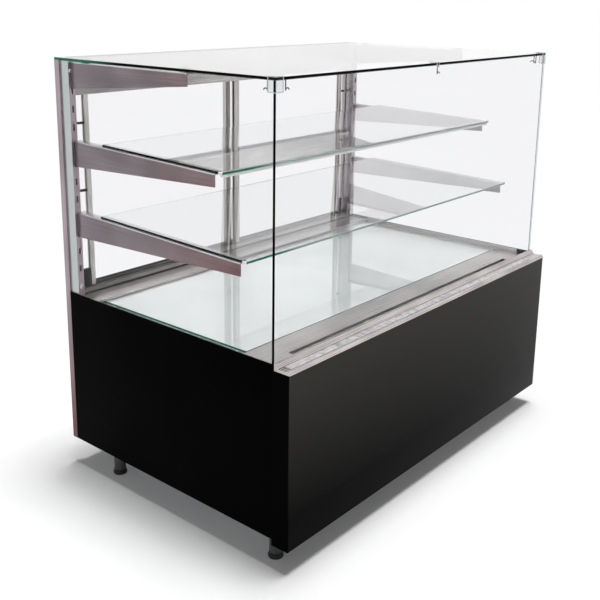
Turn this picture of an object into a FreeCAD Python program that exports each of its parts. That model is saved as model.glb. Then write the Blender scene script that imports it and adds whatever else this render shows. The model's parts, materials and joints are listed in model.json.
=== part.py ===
"""Square-glass pastry display case: cooled base, glass box, two shelves and sliding rear doors.

+X runs along the case to its right end, the front faces -Y and +Z is up. The origin is on the
floor, under the middle of the case. All lengths are in millimetres.
"""
import FreeCAD, Part
import math
import operator
import os
from types import SimpleNamespace

import Sketcher

SIZES = {
    # Whole case
    "case_width": 1300,
    "case_depth": 850,
    "case_height": 1200,
    "base_height": 538,
    "glass_thickness": 6,
    "front_overhang": 48,
    "running_gap": 0.3,
    "shaft_gap": 0.05,
    "cut_overrun": 5,
    # Base: panels, tray and feet
    "side_clearance": 81,
    "side_panel_thickness": 6,
    "front_clearance": 65,
    "front_panel_height": 460,
    "front_panel_wall": 3,
    "tray_wall": 2,
    "tray_lip": 30,
    "foot_inset_side": 47,
    "foot_inset_front": 32,
    "foot_inset_rear": 157,
    "foot_radius": 18,
    "foot_stud_radius": 6,
    "foot_stud_length": 26,
    "foot_pad_radius": 20,
    "foot_pad_height": 15,
    "weld_nut_radius": 13,
    "weld_nut_height": 18,
    # Rear pillars and their slots
    "pillar_width": 26,
    "pillar_depth": 55,
    "pillar_strip": 20,
    "pillar_wall": 2,
    "slot_pitch": 50,
    "slot_first_height": 613,
    "slot_length": 18,
    "slot_width": 5,
    "slot_top_gap": 60,
    # Brackets, shelves and lamp
    "bracket_inset": 16,
    "bracket_web": 3,
    "bracket_flange": 22,
    "bracket_flange_thickness": 3,
    "bracket_rear_height": 72,
    "bracket_front_height": 33,
    "bracket_rise": 14,
    "tab_height": 14,
    "tab_length": 10,
    "top_bracket_length": 453,
    "upper_bracket_length": 543,
    "lower_bracket_length": 626,
    "upper_shelf_drop_count": 3,
    "lower_shelf_slot_share": 0.5,
    "shelf_tilt_angle": 1.8,
    "shelf_end_gap": 18,
    "upper_shelf_depth": 450,
    "lower_shelf_depth": 546,
    "upper_shelf_overhang": 24,
    "lower_shelf_overhang": 18,
    "lamp_depth": 18,
    "lamp_height": 12,
    "lamp_end_gap": 10,
    "top_pad_height": 4,
    "top_pad_length": 30,
    "top_pad_inset": 40,
    "clip_wall": 2,
    "clip_arm": 26,
    "clip_drop": 30,
    # Rear rails, ledge and sliding doors
    "rail_setback": 5,
    "rail_wall": 2,
    "rail_rise": 7,
    "top_rail_height": 95,
    "top_rail_divider": 30,
    "bottom_rail_height": 20,
    "ledge_depth": 70,
    "ledge_height": 7,
    "ledge_wall": 2,
    "door_top_gap": 12,
    "door_overlap": 20,
    "door_edge_gap": 3,
    "door_profile_depth": 14,
    "door_stile_width": 20,
    "door_pull_width": 14,
    "door_pull_inset": 30,
    # Well, deck and front air slot
    "well_bottom": 300,
    "well_height": 215,
    "well_wall": 40,
    "deck_plate_thickness": 4,
    "deck_rear_setback": 85,
    "deck_glass_end_gap": 36,
    "deck_front_setback": 119,
    "air_slot_setback": 28,
    "air_slot_width": 14,
    "air_slot_end_gap": 99,
    "strip_wall": 2,
    # Label rail on the front panel
    "label_rail_height": 19,
    "label_rail_ridge": 5,
    "label_rail_slope": 8,
    "label_channel_width": 24,
    "label_channel_height": 7,
    "label_lip_height": 9,
    "label_lip_slope": 6,
    "label_insert_height": 2,
    "label_insert_gap": 0.5,
    "label_insert_end_gap": 20,
    # Rear panels and controls
    "apron_setback": 10,
    "apron_wall": 2,
    "apron_height": 212,
    "apron_flange": 43,
    "service_panel_height": 232,
    "louvre_count": 9,
    "louvre_pitch": 20,
    "louvre_length": 480,
    "louvre_height": 12,
    "louvre_reach": 7,
    "louvre_wall": 1.5,
    "louvre_first_height": 45,
    "louvre_side_inset": 70,
    "control_plate_length": 180,
    "control_plate_height": 70,
    "control_plate_thickness": 3,
    "control_plate_inset": 80,
    "control_plate_rise": 90,
    "knob_radius": 17,
    "knob_height": 6.5,
    "knob_shaft_radius": 3,
    "knob_grip_width": 5,
    "knob_grip_share": 0.8,
    "thermostat_length": 60,
    "thermostat_depth": 30,
    "control_pitch": 70,
    "rocker_length": 25,
    "rocker_width": 18,
    "rocker_depth": 12,
    "rocker_face_angle": 14,
    "rocker_gap": 1.8,
    "gland_radius": 11,
    "gland_bore_radius": 4,
    "gland_neck_radius": 8,
    "gland_inset": 60,
    "gland_rise": 30,
    # Cooling unit
    "evaporator_end_gap": 110,
    "evaporator_depth": 100,
    "evaporator_height": 100,
    "evaporator_rear_gap": 80,
    "fin_thickness": 2,
    "tube_row_count": 3,
    "evaporator_fin_count": 25,
    "condenser_fin_count": 13,
    "tube_radius": 6,
    "fan_plate_thickness": 2,
    "fan_plate_gap": 60,
    "fan_radius": 68,
    "fan_hub_radius": 24,
    "fan_hub_length": 22,
    "fan_shaft_radius": 4,
    "fan_tip_gap": 10,
    "fan_offset": 250,
    "blade_count": 5,
    "blade_root_chord": 36,
    "blade_tip_chord": 60,
    "blade_thickness": 2.5,
    "blade_angle": 32,
    "blade_root_sink": 5,
    "motor_radius": 32,
    "motor_length": 40,
    "motor_gap": 7,
    "motor_post_width": 30,
    "motor_post_depth": 20,
    "condenser_length": 320,
    "condenser_depth": 50,
    "condenser_height": 190,
    "condenser_rear_gap": 13,
    "condenser_offset": 120,
    "shroud_depth": 34,
    "compressor_radius": 85,
    "compressor_height": 200,
    "compressor_dome_height": 48,
    "compressor_shoulder_radius": 72,
    "compressor_crown_radius": 40,
    "compressor_floor_gap": 6,
    "compressor_foot_height": 22,
    "compressor_foot_spread": 210,
    "compressor_foot_width": 60,
    "compressor_inset": 300,
    "line_radius": 5,
    "line_bend": 25,
    "suction_reach": 105,
    "suction_height": 80,
}

doc = FreeCAD.newDocument("pastry_display_case")
sheet = doc.addObject("Spreadsheet::Sheet", "Sizes")
for row, (alias, number) in enumerate(SIZES.items(), 1):
    sheet.set(f"A{row}", alias)
    sheet.set(f"B{row}", str(number))
    sheet.setAlias(f"B{row}", alias)
doc.recompute()

SIGNS = {"+": operator.add, "-": operator.sub, "*": operator.mul, "/": operator.truediv}


class Size:
    """A number together with the formula over the sheet's cells that gives it."""

    def __init__(self, value, formula):
        self.value = value
        self.formula = formula

    def join(self, sign, other):
        other = as_size(other)
        return Size(SIGNS[sign](self.value, other.value), f"({self.formula} {sign} {other.formula})")

    def __add__(self, other):
        return self.join("+", other)

    def __radd__(self, other):
        return as_size(other).join("+", self)

    def __sub__(self, other):
        return self.join("-", other)

    def __rsub__(self, other):
        return as_size(other).join("-", self)

    def __mul__(self, other):
        return self.join("*", other)

    def __truediv__(self, other):
        return self.join("/", other)

    def __neg__(self):
        return as_size(0) - self


def as_size(number):
    return number if isinstance(number, Size) else Size(number, repr(number))


def tangent(angle):
    """Tangent of an angle in degrees."""
    return Size(math.tan(math.radians(angle.value)), f"tan({angle.formula})")


def whole(size):
    """A size rounded down to a whole number."""
    return Size(math.floor(size.value), f"floor({size.formula})")


s = SimpleNamespace(**{alias: Size(number, f"Sizes.{alias}") for alias, number in SIZES.items()})
ZERO = as_size(0)

# Main places: left and front are negative, and the right half mirrors the left.
left = -s.case_width / 2
right = s.case_width / 2
rear = s.case_depth / 2
front = -s.case_depth / 2
glass_front = front + s.front_overhang
glass_inner = glass_front + s.glass_thickness
glass_head = s.case_height - s.glass_thickness
panel_inner = left + s.side_panel_thickness
pillar_inner = left + s.pillar_width
pillar_front = rear - s.pillar_depth
seat_rear = rear - s.pillar_strip
front_panel_top = s.front_clearance + s.front_panel_height
tray_floor = s.side_clearance + s.tray_wall
well_top = s.well_bottom + s.well_height
well_floor = s.well_bottom + s.well_wall
well_inner = panel_inner + s.well_wall
deck_plate_top = well_top + s.deck_plate_thickness
deck_top = deck_plate_top + s.glass_thickness
slot_front = glass_inner + s.air_slot_setback
slot_rear = slot_front + s.air_slot_width
deck_front = glass_inner + s.deck_front_setback
deck_rear = rear - s.deck_rear_setback
apron_face = rear - s.apron_setback
apron_back = apron_face - s.apron_wall
rail_rear = rear - s.rail_setback
rail_front = pillar_front + s.rail_setback
rail_base = deck_top + s.rail_rise
shelf_slope = tangent(s.shelf_tilt_angle)
slot_count = whole((glass_head - s.slot_top_gap - s.slot_first_height) / s.slot_pitch) + 1
upper_slot = slot_count - s.upper_shelf_drop_count
lower_slot = whole(upper_slot * s.lower_shelf_slot_share)
evaporator_rear = pillar_front - s.well_wall - s.evaporator_rear_gap
evaporator_middle = evaporator_rear - s.evaporator_depth / 2
condenser_rear = pillar_front - s.condenser_rear_gap
condenser_middle = condenser_rear - s.condenser_depth / 2
evaporator_end = -well_inner - s.evaporator_end_gap
compressor_x = -panel_inner - s.compressor_inset
suction_x = compressor_x + s.compressor_radius + s.suction_reach

parts = {}


def keep(node, shape):
    """Makes an object one of the case's pieces, under the name that a person would use."""
    shape.Label = node
    parts[node] = shape
    return shape


def bind(shape, **formulas):
    """Ties properties of an object to sizes. In a property's name, two underscores stand for a dot."""
    for name, size in formulas.items():
        shape.setExpression(name.replace("__", "."), as_size(size).formula)
    return shape


def block(name, x, y, z):
    """A box between a low and a high place along each axis."""
    box = doc.addObject("Part::Box", name)
    for (low, high), length, axis in zip((x, y, z), ("Length", "Width", "Height"), "xyz"):
        box.setExpression(length, (high - low).formula)
        box.setExpression(f"Placement.Base.{axis}", as_size(low).formula)
    return box


def rod(name, radius, start, length, x, z):
    """A cylinder along +Y from a starting depth."""
    cylinder = doc.addObject("Part::Cylinder", name)
    cylinder.Placement.Rotation = FreeCAD.Rotation(FreeCAD.Vector(1, 0, 0), -90)
    bind(cylinder, Radius=radius, Height=length)
    return bind(cylinder, Placement__Base__x=x, Placement__Base__y=start, Placement__Base__z=z)


def post(name, radius, bottom, height, x, y):
    """A cylinder that stands upright."""
    cylinder = doc.addObject("Part::Cylinder", name)
    bind(cylinder, Radius=radius, Height=height)
    return bind(cylinder, Placement__Base__x=x, Placement__Base__y=y, Placement__Base__z=bottom)


def gather(kind, name, members):
    """A fusion or a compound of several objects."""
    group = doc.addObject(kind, name)
    if kind == "Part::Compound":
        group.Links = members
    else:
        group.Shapes = members
    return group


def cut(name, base, *tools):
    """An object less one or more others."""
    result = doc.addObject("Part::Cut", name)
    result.Base = base
    result.Tool = tools[0] if len(tools) == 1 else gather("Part::MultiFuse", f"{name}_tools", list(tools))
    return result


def mirrored(node, source):
    """The right-hand twin of a left-hand piece."""
    twin = doc.addObject("Part::Mirroring", f"{node}_twin")
    twin.Source = source
    twin.Normal = FreeCAD.Vector(1, 0, 0)
    return keep(node, twin)


def origin_feature(body, role):
    return next(f for f in body.Origin.OriginFeatures if f.Role == role)


def new_sketch(body, plane, at):
    """An empty sketch on a plane of the body, at a place along that plane's axis."""
    drawing = body.newObject("Sketcher::SketchObject", f"{body.Name}_sketch")
    drawing.AttachmentSupport = (origin_feature(body, f"{plane}_Plane"), [""])
    drawing.MapMode = "FlatFace"
    drawing.setExpression("AttachmentOffset.Base.z", (-at if plane == "XZ" else at).formula)
    return drawing


def tie(drawing, place, line, position):
    """Ties one point of a line in a sketch to its sizes."""
    for kind, size in zip(("DistanceX", "DistanceY"), map(as_size, place)):
        index = drawing.addConstraint(Sketcher.Constraint(kind, -1, 1, line, position, size.value))
        drawing.setExpression(f"Constraints[{index}]", size.formula)


def add_circle(drawing, centre, radius):
    """A circle in a sketch, with its centre and radius tied to their sizes."""
    middle = FreeCAD.Vector(*[as_size(c).value for c in centre], 0)
    ring = drawing.addGeometry(Part.Circle(middle, FreeCAD.Vector(0, 0, 1), radius.value), False)
    tie(drawing, centre, ring, 3)
    index = drawing.addConstraint(Sketcher.Constraint("Radius", ring, radius.value))
    drawing.setExpression(f"Constraints[{index}]", radius.formula)


def sketch(body, plane, at, points):
    """A closed outline of straight lines on a plane of the body, each corner tied to its sizes."""
    drawing = new_sketch(body, plane, at)
    corners = [FreeCAD.Vector(as_size(a).value, as_size(b).value, 0) for a, b in points]
    count = len(corners)
    for i in range(count):
        drawing.addGeometry(Part.LineSegment(corners[i], corners[(i + 1) % count]), False)
    for i in range(count):
        drawing.addConstraint(Sketcher.Constraint("Coincident", i, 2, (i + 1) % count, 1))
    for i, corner in enumerate(points):
        tie(drawing, corner, i, 1)
    return drawing


def pad(body, plane, low, high, points):
    """Fills an outline between two places along the plane's axis."""
    solid = body.newObject("PartDesign::Pad", f"{body.Name}_pad")
    solid.Profile = sketch(body, plane, high if plane == "XZ" else low, points)
    bind(solid, Length=high - low)
    return solid


def pocket(body, plane, low, high, points):
    """Removes an outline between two places along the plane's axis."""
    hole = body.newObject("PartDesign::Pocket", f"{body.Name}_pocket")
    hole.Profile = sketch(body, plane, low if plane == "XZ" else high, points)
    bind(hole, Length=high - low)
    return hole


def rectangle(x, y):
    return [(x[0], y[0]), (x[1], y[0]), (x[1], y[1]), (x[0], y[1])]


def new_body(name):
    return doc.addObject("PartDesign::Body", name)


def extrusion(node, plane, low, high, points):
    """A piece with one section all along its length."""
    body = new_body(f"{node}_body")
    pad(body, plane, low, high, points)
    return keep(node, body)


def repeat(body, originals, role, pitch, count):
    """Repeats features along one of the body's axes."""
    pattern = body.newObject("PartDesign::LinearPattern", f"{body.Name}_row")
    pattern.Originals = originals
    pattern.Direction = (origin_feature(body, f"{role}_Axis"), [""])
    bind(pattern, Length=pitch * (count - 1), Occurrences=count)
    body.Tip = pattern
    return pattern


def turned(name, points, x, y, z):
    """A round piece: half of its section is turned about an upright axis."""
    body = new_body(name)
    solid = body.newObject("PartDesign::Revolution", f"{name}_turning")
    drawing = sketch(body, "XZ", ZERO, points)
    solid.Profile = drawing
    solid.ReferenceAxis = (drawing, ["V_Axis"])
    return bind(body, Placement__Base__x=x, Placement__Base__y=y, Placement__Base__z=z)


def side_panel():
    z = (s.side_clearance, s.base_height)
    shell = block("left_panel_board", (left, panel_inner), (glass_inner, seat_rear), z)
    mirrored("right_side_panel", keep("left_side_panel", shell))


def front_panel():
    """A folded pan: face, side returns and top and bottom flanges, open towards the base."""
    wall = s.front_panel_wall
    body = new_body("front_pan")
    pad(body, "XY", s.front_clearance, front_panel_top, rectangle((left, right), (front, glass_inner)))
    inside = rectangle((left + wall, right - wall), (front + wall, glass_inner + s.cut_overrun))
    pocket(body, "XY", s.front_clearance + wall, front_panel_top - wall, inside)
    keep("front_panel", body)


def foot_places():
    side = left + s.foot_inset_side
    fore = glass_front + s.foot_inset_front
    aft = rear - s.foot_inset_rear
    return {
        "front_left": (side, fore),
        "front_right": (-side, fore),
        "rear_left": (side, aft),
        "rear_right": (-side, aft),
    }


def base_tray():
    """Bottom tray with a turned-up lip, and a welded nut over each foot."""
    z = (s.side_clearance, s.side_clearance + s.tray_lip)
    solid = block("tray_blank", (panel_inner, -panel_inner), (glass_inner, pillar_front), z)
    wall = s.tray_wall
    hollow = block(
        "tray_hollow",
        (panel_inner + wall, -panel_inner - wall),
        (glass_inner + wall, pillar_front - wall),
        (tray_floor, z[1] + s.cut_overrun),
    )
    pan = cut("tray_pan", solid, hollow)
    nuts, bores = [], []
    for corner, (x, y) in foot_places().items():
        nuts.append(post(f"{corner}_nut", s.weld_nut_radius, tray_floor, s.weld_nut_height, x, y))
        depth = s.tray_wall + s.weld_nut_height + s.cut_overrun * 2
        bore = s.foot_stud_radius + s.shaft_gap
        bores.append(post(f"{corner}_bore", bore, s.side_clearance - s.cut_overrun, depth, x, y))
    welded = gather("Part::MultiFuse", "tray_welded", [pan, *nuts])
    keep("base_tray", cut("tray_bored", welded, *bores))


def feet():
    """Levelling feet: a round leg with a threaded stud, on a rubber pad."""
    pad_height = s.foot_pad_height
    stud_top = s.side_clearance + s.foot_stud_length
    leg = [
        (ZERO, pad_height),
        (s.foot_radius, pad_height),
        (s.foot_radius, s.side_clearance),
        (s.foot_stud_radius, s.side_clearance),
        (s.foot_stud_radius, stud_top),
        (ZERO, stud_top),
    ]
    pad_outline = [(ZERO, ZERO), (s.foot_pad_radius, ZERO), (s.foot_radius, pad_height), (ZERO, pad_height)]
    for corner, (x, y) in foot_places().items():
        outlines = (("leg", leg), ("pad", pad_outline))
        pieces = [turned(f"{corner}_{name}", outline, x, y, ZERO) for name, outline in outlines]
        keep(f"{corner}_foot", gather("Part::Compound", f"{corner}_set", pieces))


def pillars():
    """Hollow rear pillars: seats for the side glass and the side panel, and a row of slots in front."""
    body = new_body("left_pillar_body")
    z = (s.side_clearance, glass_head)
    wall = s.pillar_wall
    pad(body, "XY", *z, rectangle((left, pillar_inner), (pillar_front, rear)))
    seat_y = (pillar_front - s.cut_overrun, seat_rear)
    seat_x = left - s.cut_overrun
    glass_seat = rectangle((seat_x, left + s.glass_thickness), seat_y)
    panel_seat = rectangle((seat_x, panel_inner), seat_y)
    pocket(body, "XY", s.base_height, z[1] + s.cut_overrun, glass_seat)
    pocket(body, "XY", z[0] - s.cut_overrun, s.base_height, panel_seat)
    core_x = (left + s.glass_thickness + wall, pillar_inner - wall)
    core = rectangle(core_x, (pillar_front + wall, rear - wall))
    pocket(body, "XY", z[0] - s.cut_overrun, z[1] + s.cut_overrun, core)
    middle = left + s.bracket_inset
    slot_x = (middle - s.slot_width / 2, middle + s.slot_width / 2)
    slot_z = (s.slot_first_height - s.slot_length / 2, s.slot_first_height + s.slot_length / 2)
    slot = pocket(body, "XZ", pillar_front - s.cut_overrun, pillar_front + wall, rectangle(slot_x, slot_z))
    repeat(body, [slot], "Z", s.slot_pitch, slot_count)
    mirrored("right_pillar", keep("left_pillar", body))


def bracket_top(slot_number):
    """Height of a bracket's rear upper corner when its tabs sit in a slot and the one below it."""
    return s.slot_first_height + s.slot_pitch * (slot_number - 1) + s.bracket_rise


def bracket(place, top, length, slope, hooked):
    """A tapered web with a flange along its top edge, hooked or screwed to the pillar."""
    web_x = (left + s.bracket_inset - s.bracket_web / 2, left + s.bracket_inset + s.bracket_web / 2)
    fore = pillar_front - length
    fore_top = top - slope * length
    web = [(pillar_front, top)]
    for step in (0, 1) if hooked else ():
        low = top - s.bracket_rise - s.slot_length / 2 - s.slot_pitch * step
        high = low + s.tab_height
        tip = pillar_front + s.tab_length
        web += [(pillar_front, high), (tip, high), (tip, low), (pillar_front, low)]
    web += [
        (pillar_front, top - s.bracket_rear_height),
        (fore, fore_top - s.bracket_front_height),
        (fore, fore_top),
    ]
    under = s.bracket_flange_thickness
    flange = [(pillar_front, top), (pillar_front, top - under), (fore, fore_top - under), (fore, fore_top)]
    body = new_body(f"{place}_left_bracket_body")
    pad(body, "YZ", *web_x, web)
    pad(body, "YZ", web_x[0], web_x[0] + s.bracket_flange, flange)
    mirrored(f"{place}_right_bracket", keep(f"{place}_left_bracket", body))


def shelf(place, top, length, depth, overhang):
    """A glass shelf that lies on a pair of brackets and slopes with them."""
    fore = pillar_front - length - overhang
    aft = fore + depth
    low = [(y, top - shelf_slope * (pillar_front - y)) for y in (aft, fore)]
    outline = low + [(y, z + s.glass_thickness) for y, z in reversed(low)]
    extrusion(f"{place}_shelf", "YZ", left + s.shelf_end_gap, right - s.shelf_end_gap, outline)
    return low[1]


def shelves():
    upper_top = bracket_top(upper_slot)
    lower_top = bracket_top(lower_slot)
    top_top = glass_head - s.top_pad_height
    bracket("top", top_top, s.top_bracket_length, ZERO, False)
    bracket("upper", upper_top, s.upper_bracket_length, shelf_slope, True)
    bracket("lower", lower_top, s.lower_bracket_length, shelf_slope, True)
    upper = (s.upper_bracket_length, s.upper_shelf_depth, s.upper_shelf_overhang)
    lower = (s.lower_bracket_length, s.lower_shelf_depth, s.lower_shelf_overhang)
    fore, edge = shelf("upper", upper_top, *upper)
    shelf("lower", lower_top, *lower)
    # The lamp hangs under the upper shelf's front edge.
    aft_edge = edge + shelf_slope * s.lamp_depth
    aft = fore + s.lamp_depth
    drop = s.lamp_height
    lamp = [(fore, edge), (fore, edge - drop), (aft, aft_edge - drop), (aft, aft_edge)]
    lamp_end = left + s.shelf_end_gap + s.lamp_end_gap
    extrusion("shelf_lamp", "YZ", lamp_end, -lamp_end, lamp)
    pads = []
    flange_low = left + s.bracket_inset - s.bracket_web / 2
    flange_x = (flange_low, flange_low + s.bracket_flange)
    for side, x in (("left", flange_x), ("right", (-flange_x[1], -flange_x[0]))):
        starts = (pillar_front - s.top_pad_inset, pillar_front - s.top_bracket_length + s.top_pad_length)
        for place, start in zip(("rear", "front"), starts):
            y = (start - s.top_pad_length, start)
            pads.append(block(f"{side}_{place}_top_pad", x, y, (top_top, glass_head)))
    keep("top_glass_pads", gather("Part::Compound", "top_pads", pads))


def glass_box():
    thickness = s.glass_thickness
    sheet_y = (glass_inner, seat_rear)
    side = block("left_pane", (left, left + thickness), sheet_y, (s.base_height, glass_head))
    mirrored("right_glass", keep("left_glass", side))
    face_y = (glass_front, glass_inner)
    keep("front_glass", block("front_pane", (left, right), face_y, (front_panel_top, glass_head)))
    keep("top_glass", block("top_pane", (left, right), (glass_front, rear), (glass_head, s.case_height)))


def glass_clips():
    """Caps over the top glass: one on each front corner and a smaller one in the middle."""
    wall = s.clip_wall
    arm = s.clip_arm
    top = s.case_height
    over = s.cut_overrun
    low = glass_head - s.clip_drop
    shell_y = (glass_front - wall, glass_front + arm)
    room_y = (glass_front, glass_front + arm + over)
    shell_z = (low, top + wall)
    room_z = (low - over, top)
    shell = block("corner_cap", (left - wall, left + arm), shell_y, shell_z)
    room = block("corner_room", (left, left + arm + over), room_y, room_z)
    corner = cut("left_clip", shell, room)
    twin = doc.addObject("Part::Mirroring", "right_clip")
    twin.Source = corner
    twin.Normal = FreeCAD.Vector(1, 0, 0)
    half = arm / 2
    middle = block("middle_cap", (-half, half), shell_y, shell_z)
    gap = block("middle_room", (-half - over, half + over), room_y, room_z)
    keep("glass_clips", gather("Part::Compound", "clips", [corner, twin, cut("middle_clip", middle, gap)]))


def rear_rails():
    """Two-track rails for the doors, with a stainless ledge in front of the lower one."""
    wall = s.rail_wall
    middle = (rail_front + rail_rear) / 2
    low, high = glass_head - s.top_rail_height, glass_head - wall
    tongue = glass_head - s.top_rail_divider
    extrusion("rear_top_rail", "YZ", pillar_inner, -pillar_inner, [
        (rail_front, low),
        (rail_front + wall, low),
        (rail_front + wall, high),
        (middle - wall / 2, high),
        (middle - wall / 2, tongue),
        (middle + wall / 2, tongue),
        (middle + wall / 2, high),
        (rail_rear - wall, high),
        (rail_rear - wall, low),
        (rail_rear, low),
        (rail_rear, glass_head),
        (rail_front, glass_head),
    ])
    floor, top = rail_base + wall, rail_base + s.bottom_rail_height
    extrusion("rear_bottom_rail", "YZ", pillar_inner, -pillar_inner, [
        (rail_front, rail_base),
        (rail_rear, rail_base),
        (rail_rear, top),
        (rail_rear - wall, top),
        (rail_rear - wall, floor),
        (middle + wall / 2, floor),
        (middle + wall / 2, top),
        (middle - wall / 2, top),
        (middle - wall / 2, floor),
        (rail_front + wall, floor),
        (rail_front + wall, top),
        (rail_front, top),
    ])
    ledge_front = pillar_front - s.ledge_depth
    ledge_top = deck_top + s.ledge_height
    skin = s.ledge_wall
    extrusion("rear_ledge", "YZ", panel_inner, -panel_inner, [
        (ledge_front, deck_top),
        (ledge_front + skin, deck_top),
        (ledge_front + skin, ledge_top - skin),
        (pillar_front, ledge_top - skin),
        (pillar_front, ledge_top),
        (ledge_front, ledge_top),
    ])


def door(side, sign, track):
    """A sliding pane with a pull near its outer edge and a stile on its inner edge."""
    bottom = rail_base + s.rail_wall + s.running_gap
    top = glass_head - s.rail_wall - s.door_top_gap
    z = (bottom, top)
    half_glass = s.glass_thickness / 2
    half_depth = s.door_profile_depth / 2
    pane_y = (track - half_glass, track + half_glass)
    profile_y = (track - half_depth, track + half_depth)
    lip = (s.door_profile_depth - s.glass_thickness) / 2
    outer = -pillar_inner - s.door_edge_gap
    inner = -s.door_overlap

    def span(low, high):
        return (low, high) if sign > 0 else (-high, -low)

    keep(f"{side}_door_pane", block(f"{side}_pane_sheet", span(inner + lip, outer), pane_y, z))
    stile_x = span(inner, inner + s.door_stile_width)
    stile = block(f"{side}_stile_bar", stile_x, profile_y, z)
    groove_x = span(inner + lip, inner + s.door_stile_width + s.cut_overrun)
    tall = (bottom - s.cut_overrun, top + s.cut_overrun)
    groove = block(f"{side}_stile_groove", groove_x, pane_y, tall)
    keep(f"{side}_door_stile", cut(f"{side}_stile", stile, groove))
    pull_high = outer - s.door_pull_inset
    pull_x = span(pull_high - s.door_pull_width, pull_high)
    bars = block(f"{side}_pull_bar", pull_x, profile_y, z)
    gap_x = span(pull_high - s.door_pull_width - s.cut_overrun, pull_high + s.cut_overrun)
    gap = block(f"{side}_pull_gap", gap_x, pane_y, tall)
    keep(f"{side}_door_pull", cut(f"{side}_pull", bars, gap))


def doors():
    """The left door runs in the front track and the right door in the rear one."""
    middle = (rail_front + rail_rear) / 2
    reach = (middle - rail_front) / 2
    door("left", -1, middle - reach)
    door("right", 1, middle + reach)


def well_and_deck():
    x = (panel_inner, -panel_inner)
    solid = block("well_blank", x, (glass_inner, pillar_front), (s.well_bottom, well_top))
    wall = s.well_wall
    over = s.cut_overrun
    # The hollow reaches as far as the air slot, so that the slot opens into it.
    hollow_y = (slot_front, pillar_front - wall)
    hollow_z = (well_floor, well_top + over)
    hollow = block("well_hollow", (well_inner, -well_inner), hollow_y, hollow_z)
    hole = s.line_radius + s.running_gap
    depth = wall + over * 2
    passage = post("well_passage", hole, s.well_bottom - over, depth, suction_x, evaporator_middle)
    keep("insulated_well", cut("well_tub", solid, hollow, passage))
    keep("deck_plate", block("deck_sheet", x, (slot_rear, deck_rear), (well_top, deck_plate_top)))
    pane_end = panel_inner + s.deck_glass_end_gap
    pane_y = (deck_front, deck_rear)
    keep("deck_glass", block("deck_pane", (pane_end, -pane_end), pane_y, (deck_plate_top, deck_top)))
    skin = s.strip_wall
    # The inner strip has a tongue at each end that closes the slot there.
    body = new_body("inner_strip_body")
    pad(body, "YZ", *x, channel(slot_rear, deck_front, deck_plate_top, deck_top, skin))
    slot_end = panel_inner + s.air_slot_end_gap
    for ends in ((panel_inner, slot_end), (-slot_end, -panel_inner)):
        pad(body, "XY", deck_top - skin, deck_top, rectangle(ends, (slot_front, slot_rear)))
    keep("inner_air_strip", body)
    extrusion("outer_air_strip", "YZ", *x, channel(glass_inner, slot_front, well_top, deck_top, skin))


def channel(low_y, high_y, low_z, high_z, wall):
    """Section of a strip with both its edges folded down."""
    return [
        (low_y, low_z),
        (low_y + wall, low_z),
        (low_y + wall, high_z - wall),
        (high_y - wall, high_z - wall),
        (high_y - wall, low_z),
        (high_y, low_z),
        (high_y, high_z),
        (low_y, high_z),
    ]


def label_rail():
    """Sloping front rail: a ridge at the glass, a channel for price labels and a rounded-off lip."""
    base = front_panel_top
    top = base + s.label_rail_height
    ridge = glass_front - s.label_rail_ridge
    channel_rear = ridge - s.label_rail_slope
    channel_front = channel_rear - s.label_channel_width
    floor = base + s.label_channel_height
    lip = base + s.label_lip_height
    extrusion("label_rail", "YZ", left, right, [
        (glass_front, base),
        (glass_front, top),
        (ridge, top),
        (channel_rear, lip),
        (channel_rear, floor),
        (channel_front, floor),
        (channel_front, lip),
        (front + s.label_lip_slope, lip),
        (front, base + s.label_lip_slope / 2),
        (front, base),
    ])
    gap = s.label_insert_gap
    insert_y = (channel_front + gap, channel_rear - gap)
    insert_z = (floor, floor + s.label_insert_height)
    end = left + s.label_insert_end_gap
    keep("label_insert", block("label_strip", (end, -end), insert_y, insert_z))


def rear_panels():
    x = (pillar_inner, -pillar_inner)
    skin = s.apron_wall
    low = rail_base - s.apron_height
    body = new_body("apron_body")
    pad(body, "YZ", *x, [
        (apron_back, low),
        (apron_face, low),
        (apron_face, rail_base),
        (apron_face - s.apron_flange, rail_base),
        (apron_face - s.apron_flange, rail_base - skin),
        (apron_back, rail_base - skin),
    ])
    cut_y = (apron_back - s.cut_overrun, apron_face + s.cut_overrun)
    for hole_x, hole_z in (rocker_hole(), shaft_hole()):
        pocket(body, "XZ", *cut_y, rectangle(hole_x, hole_z))
    keep("rear_apron", body)
    service_panel(x, low - s.service_panel_height, low)


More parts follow.
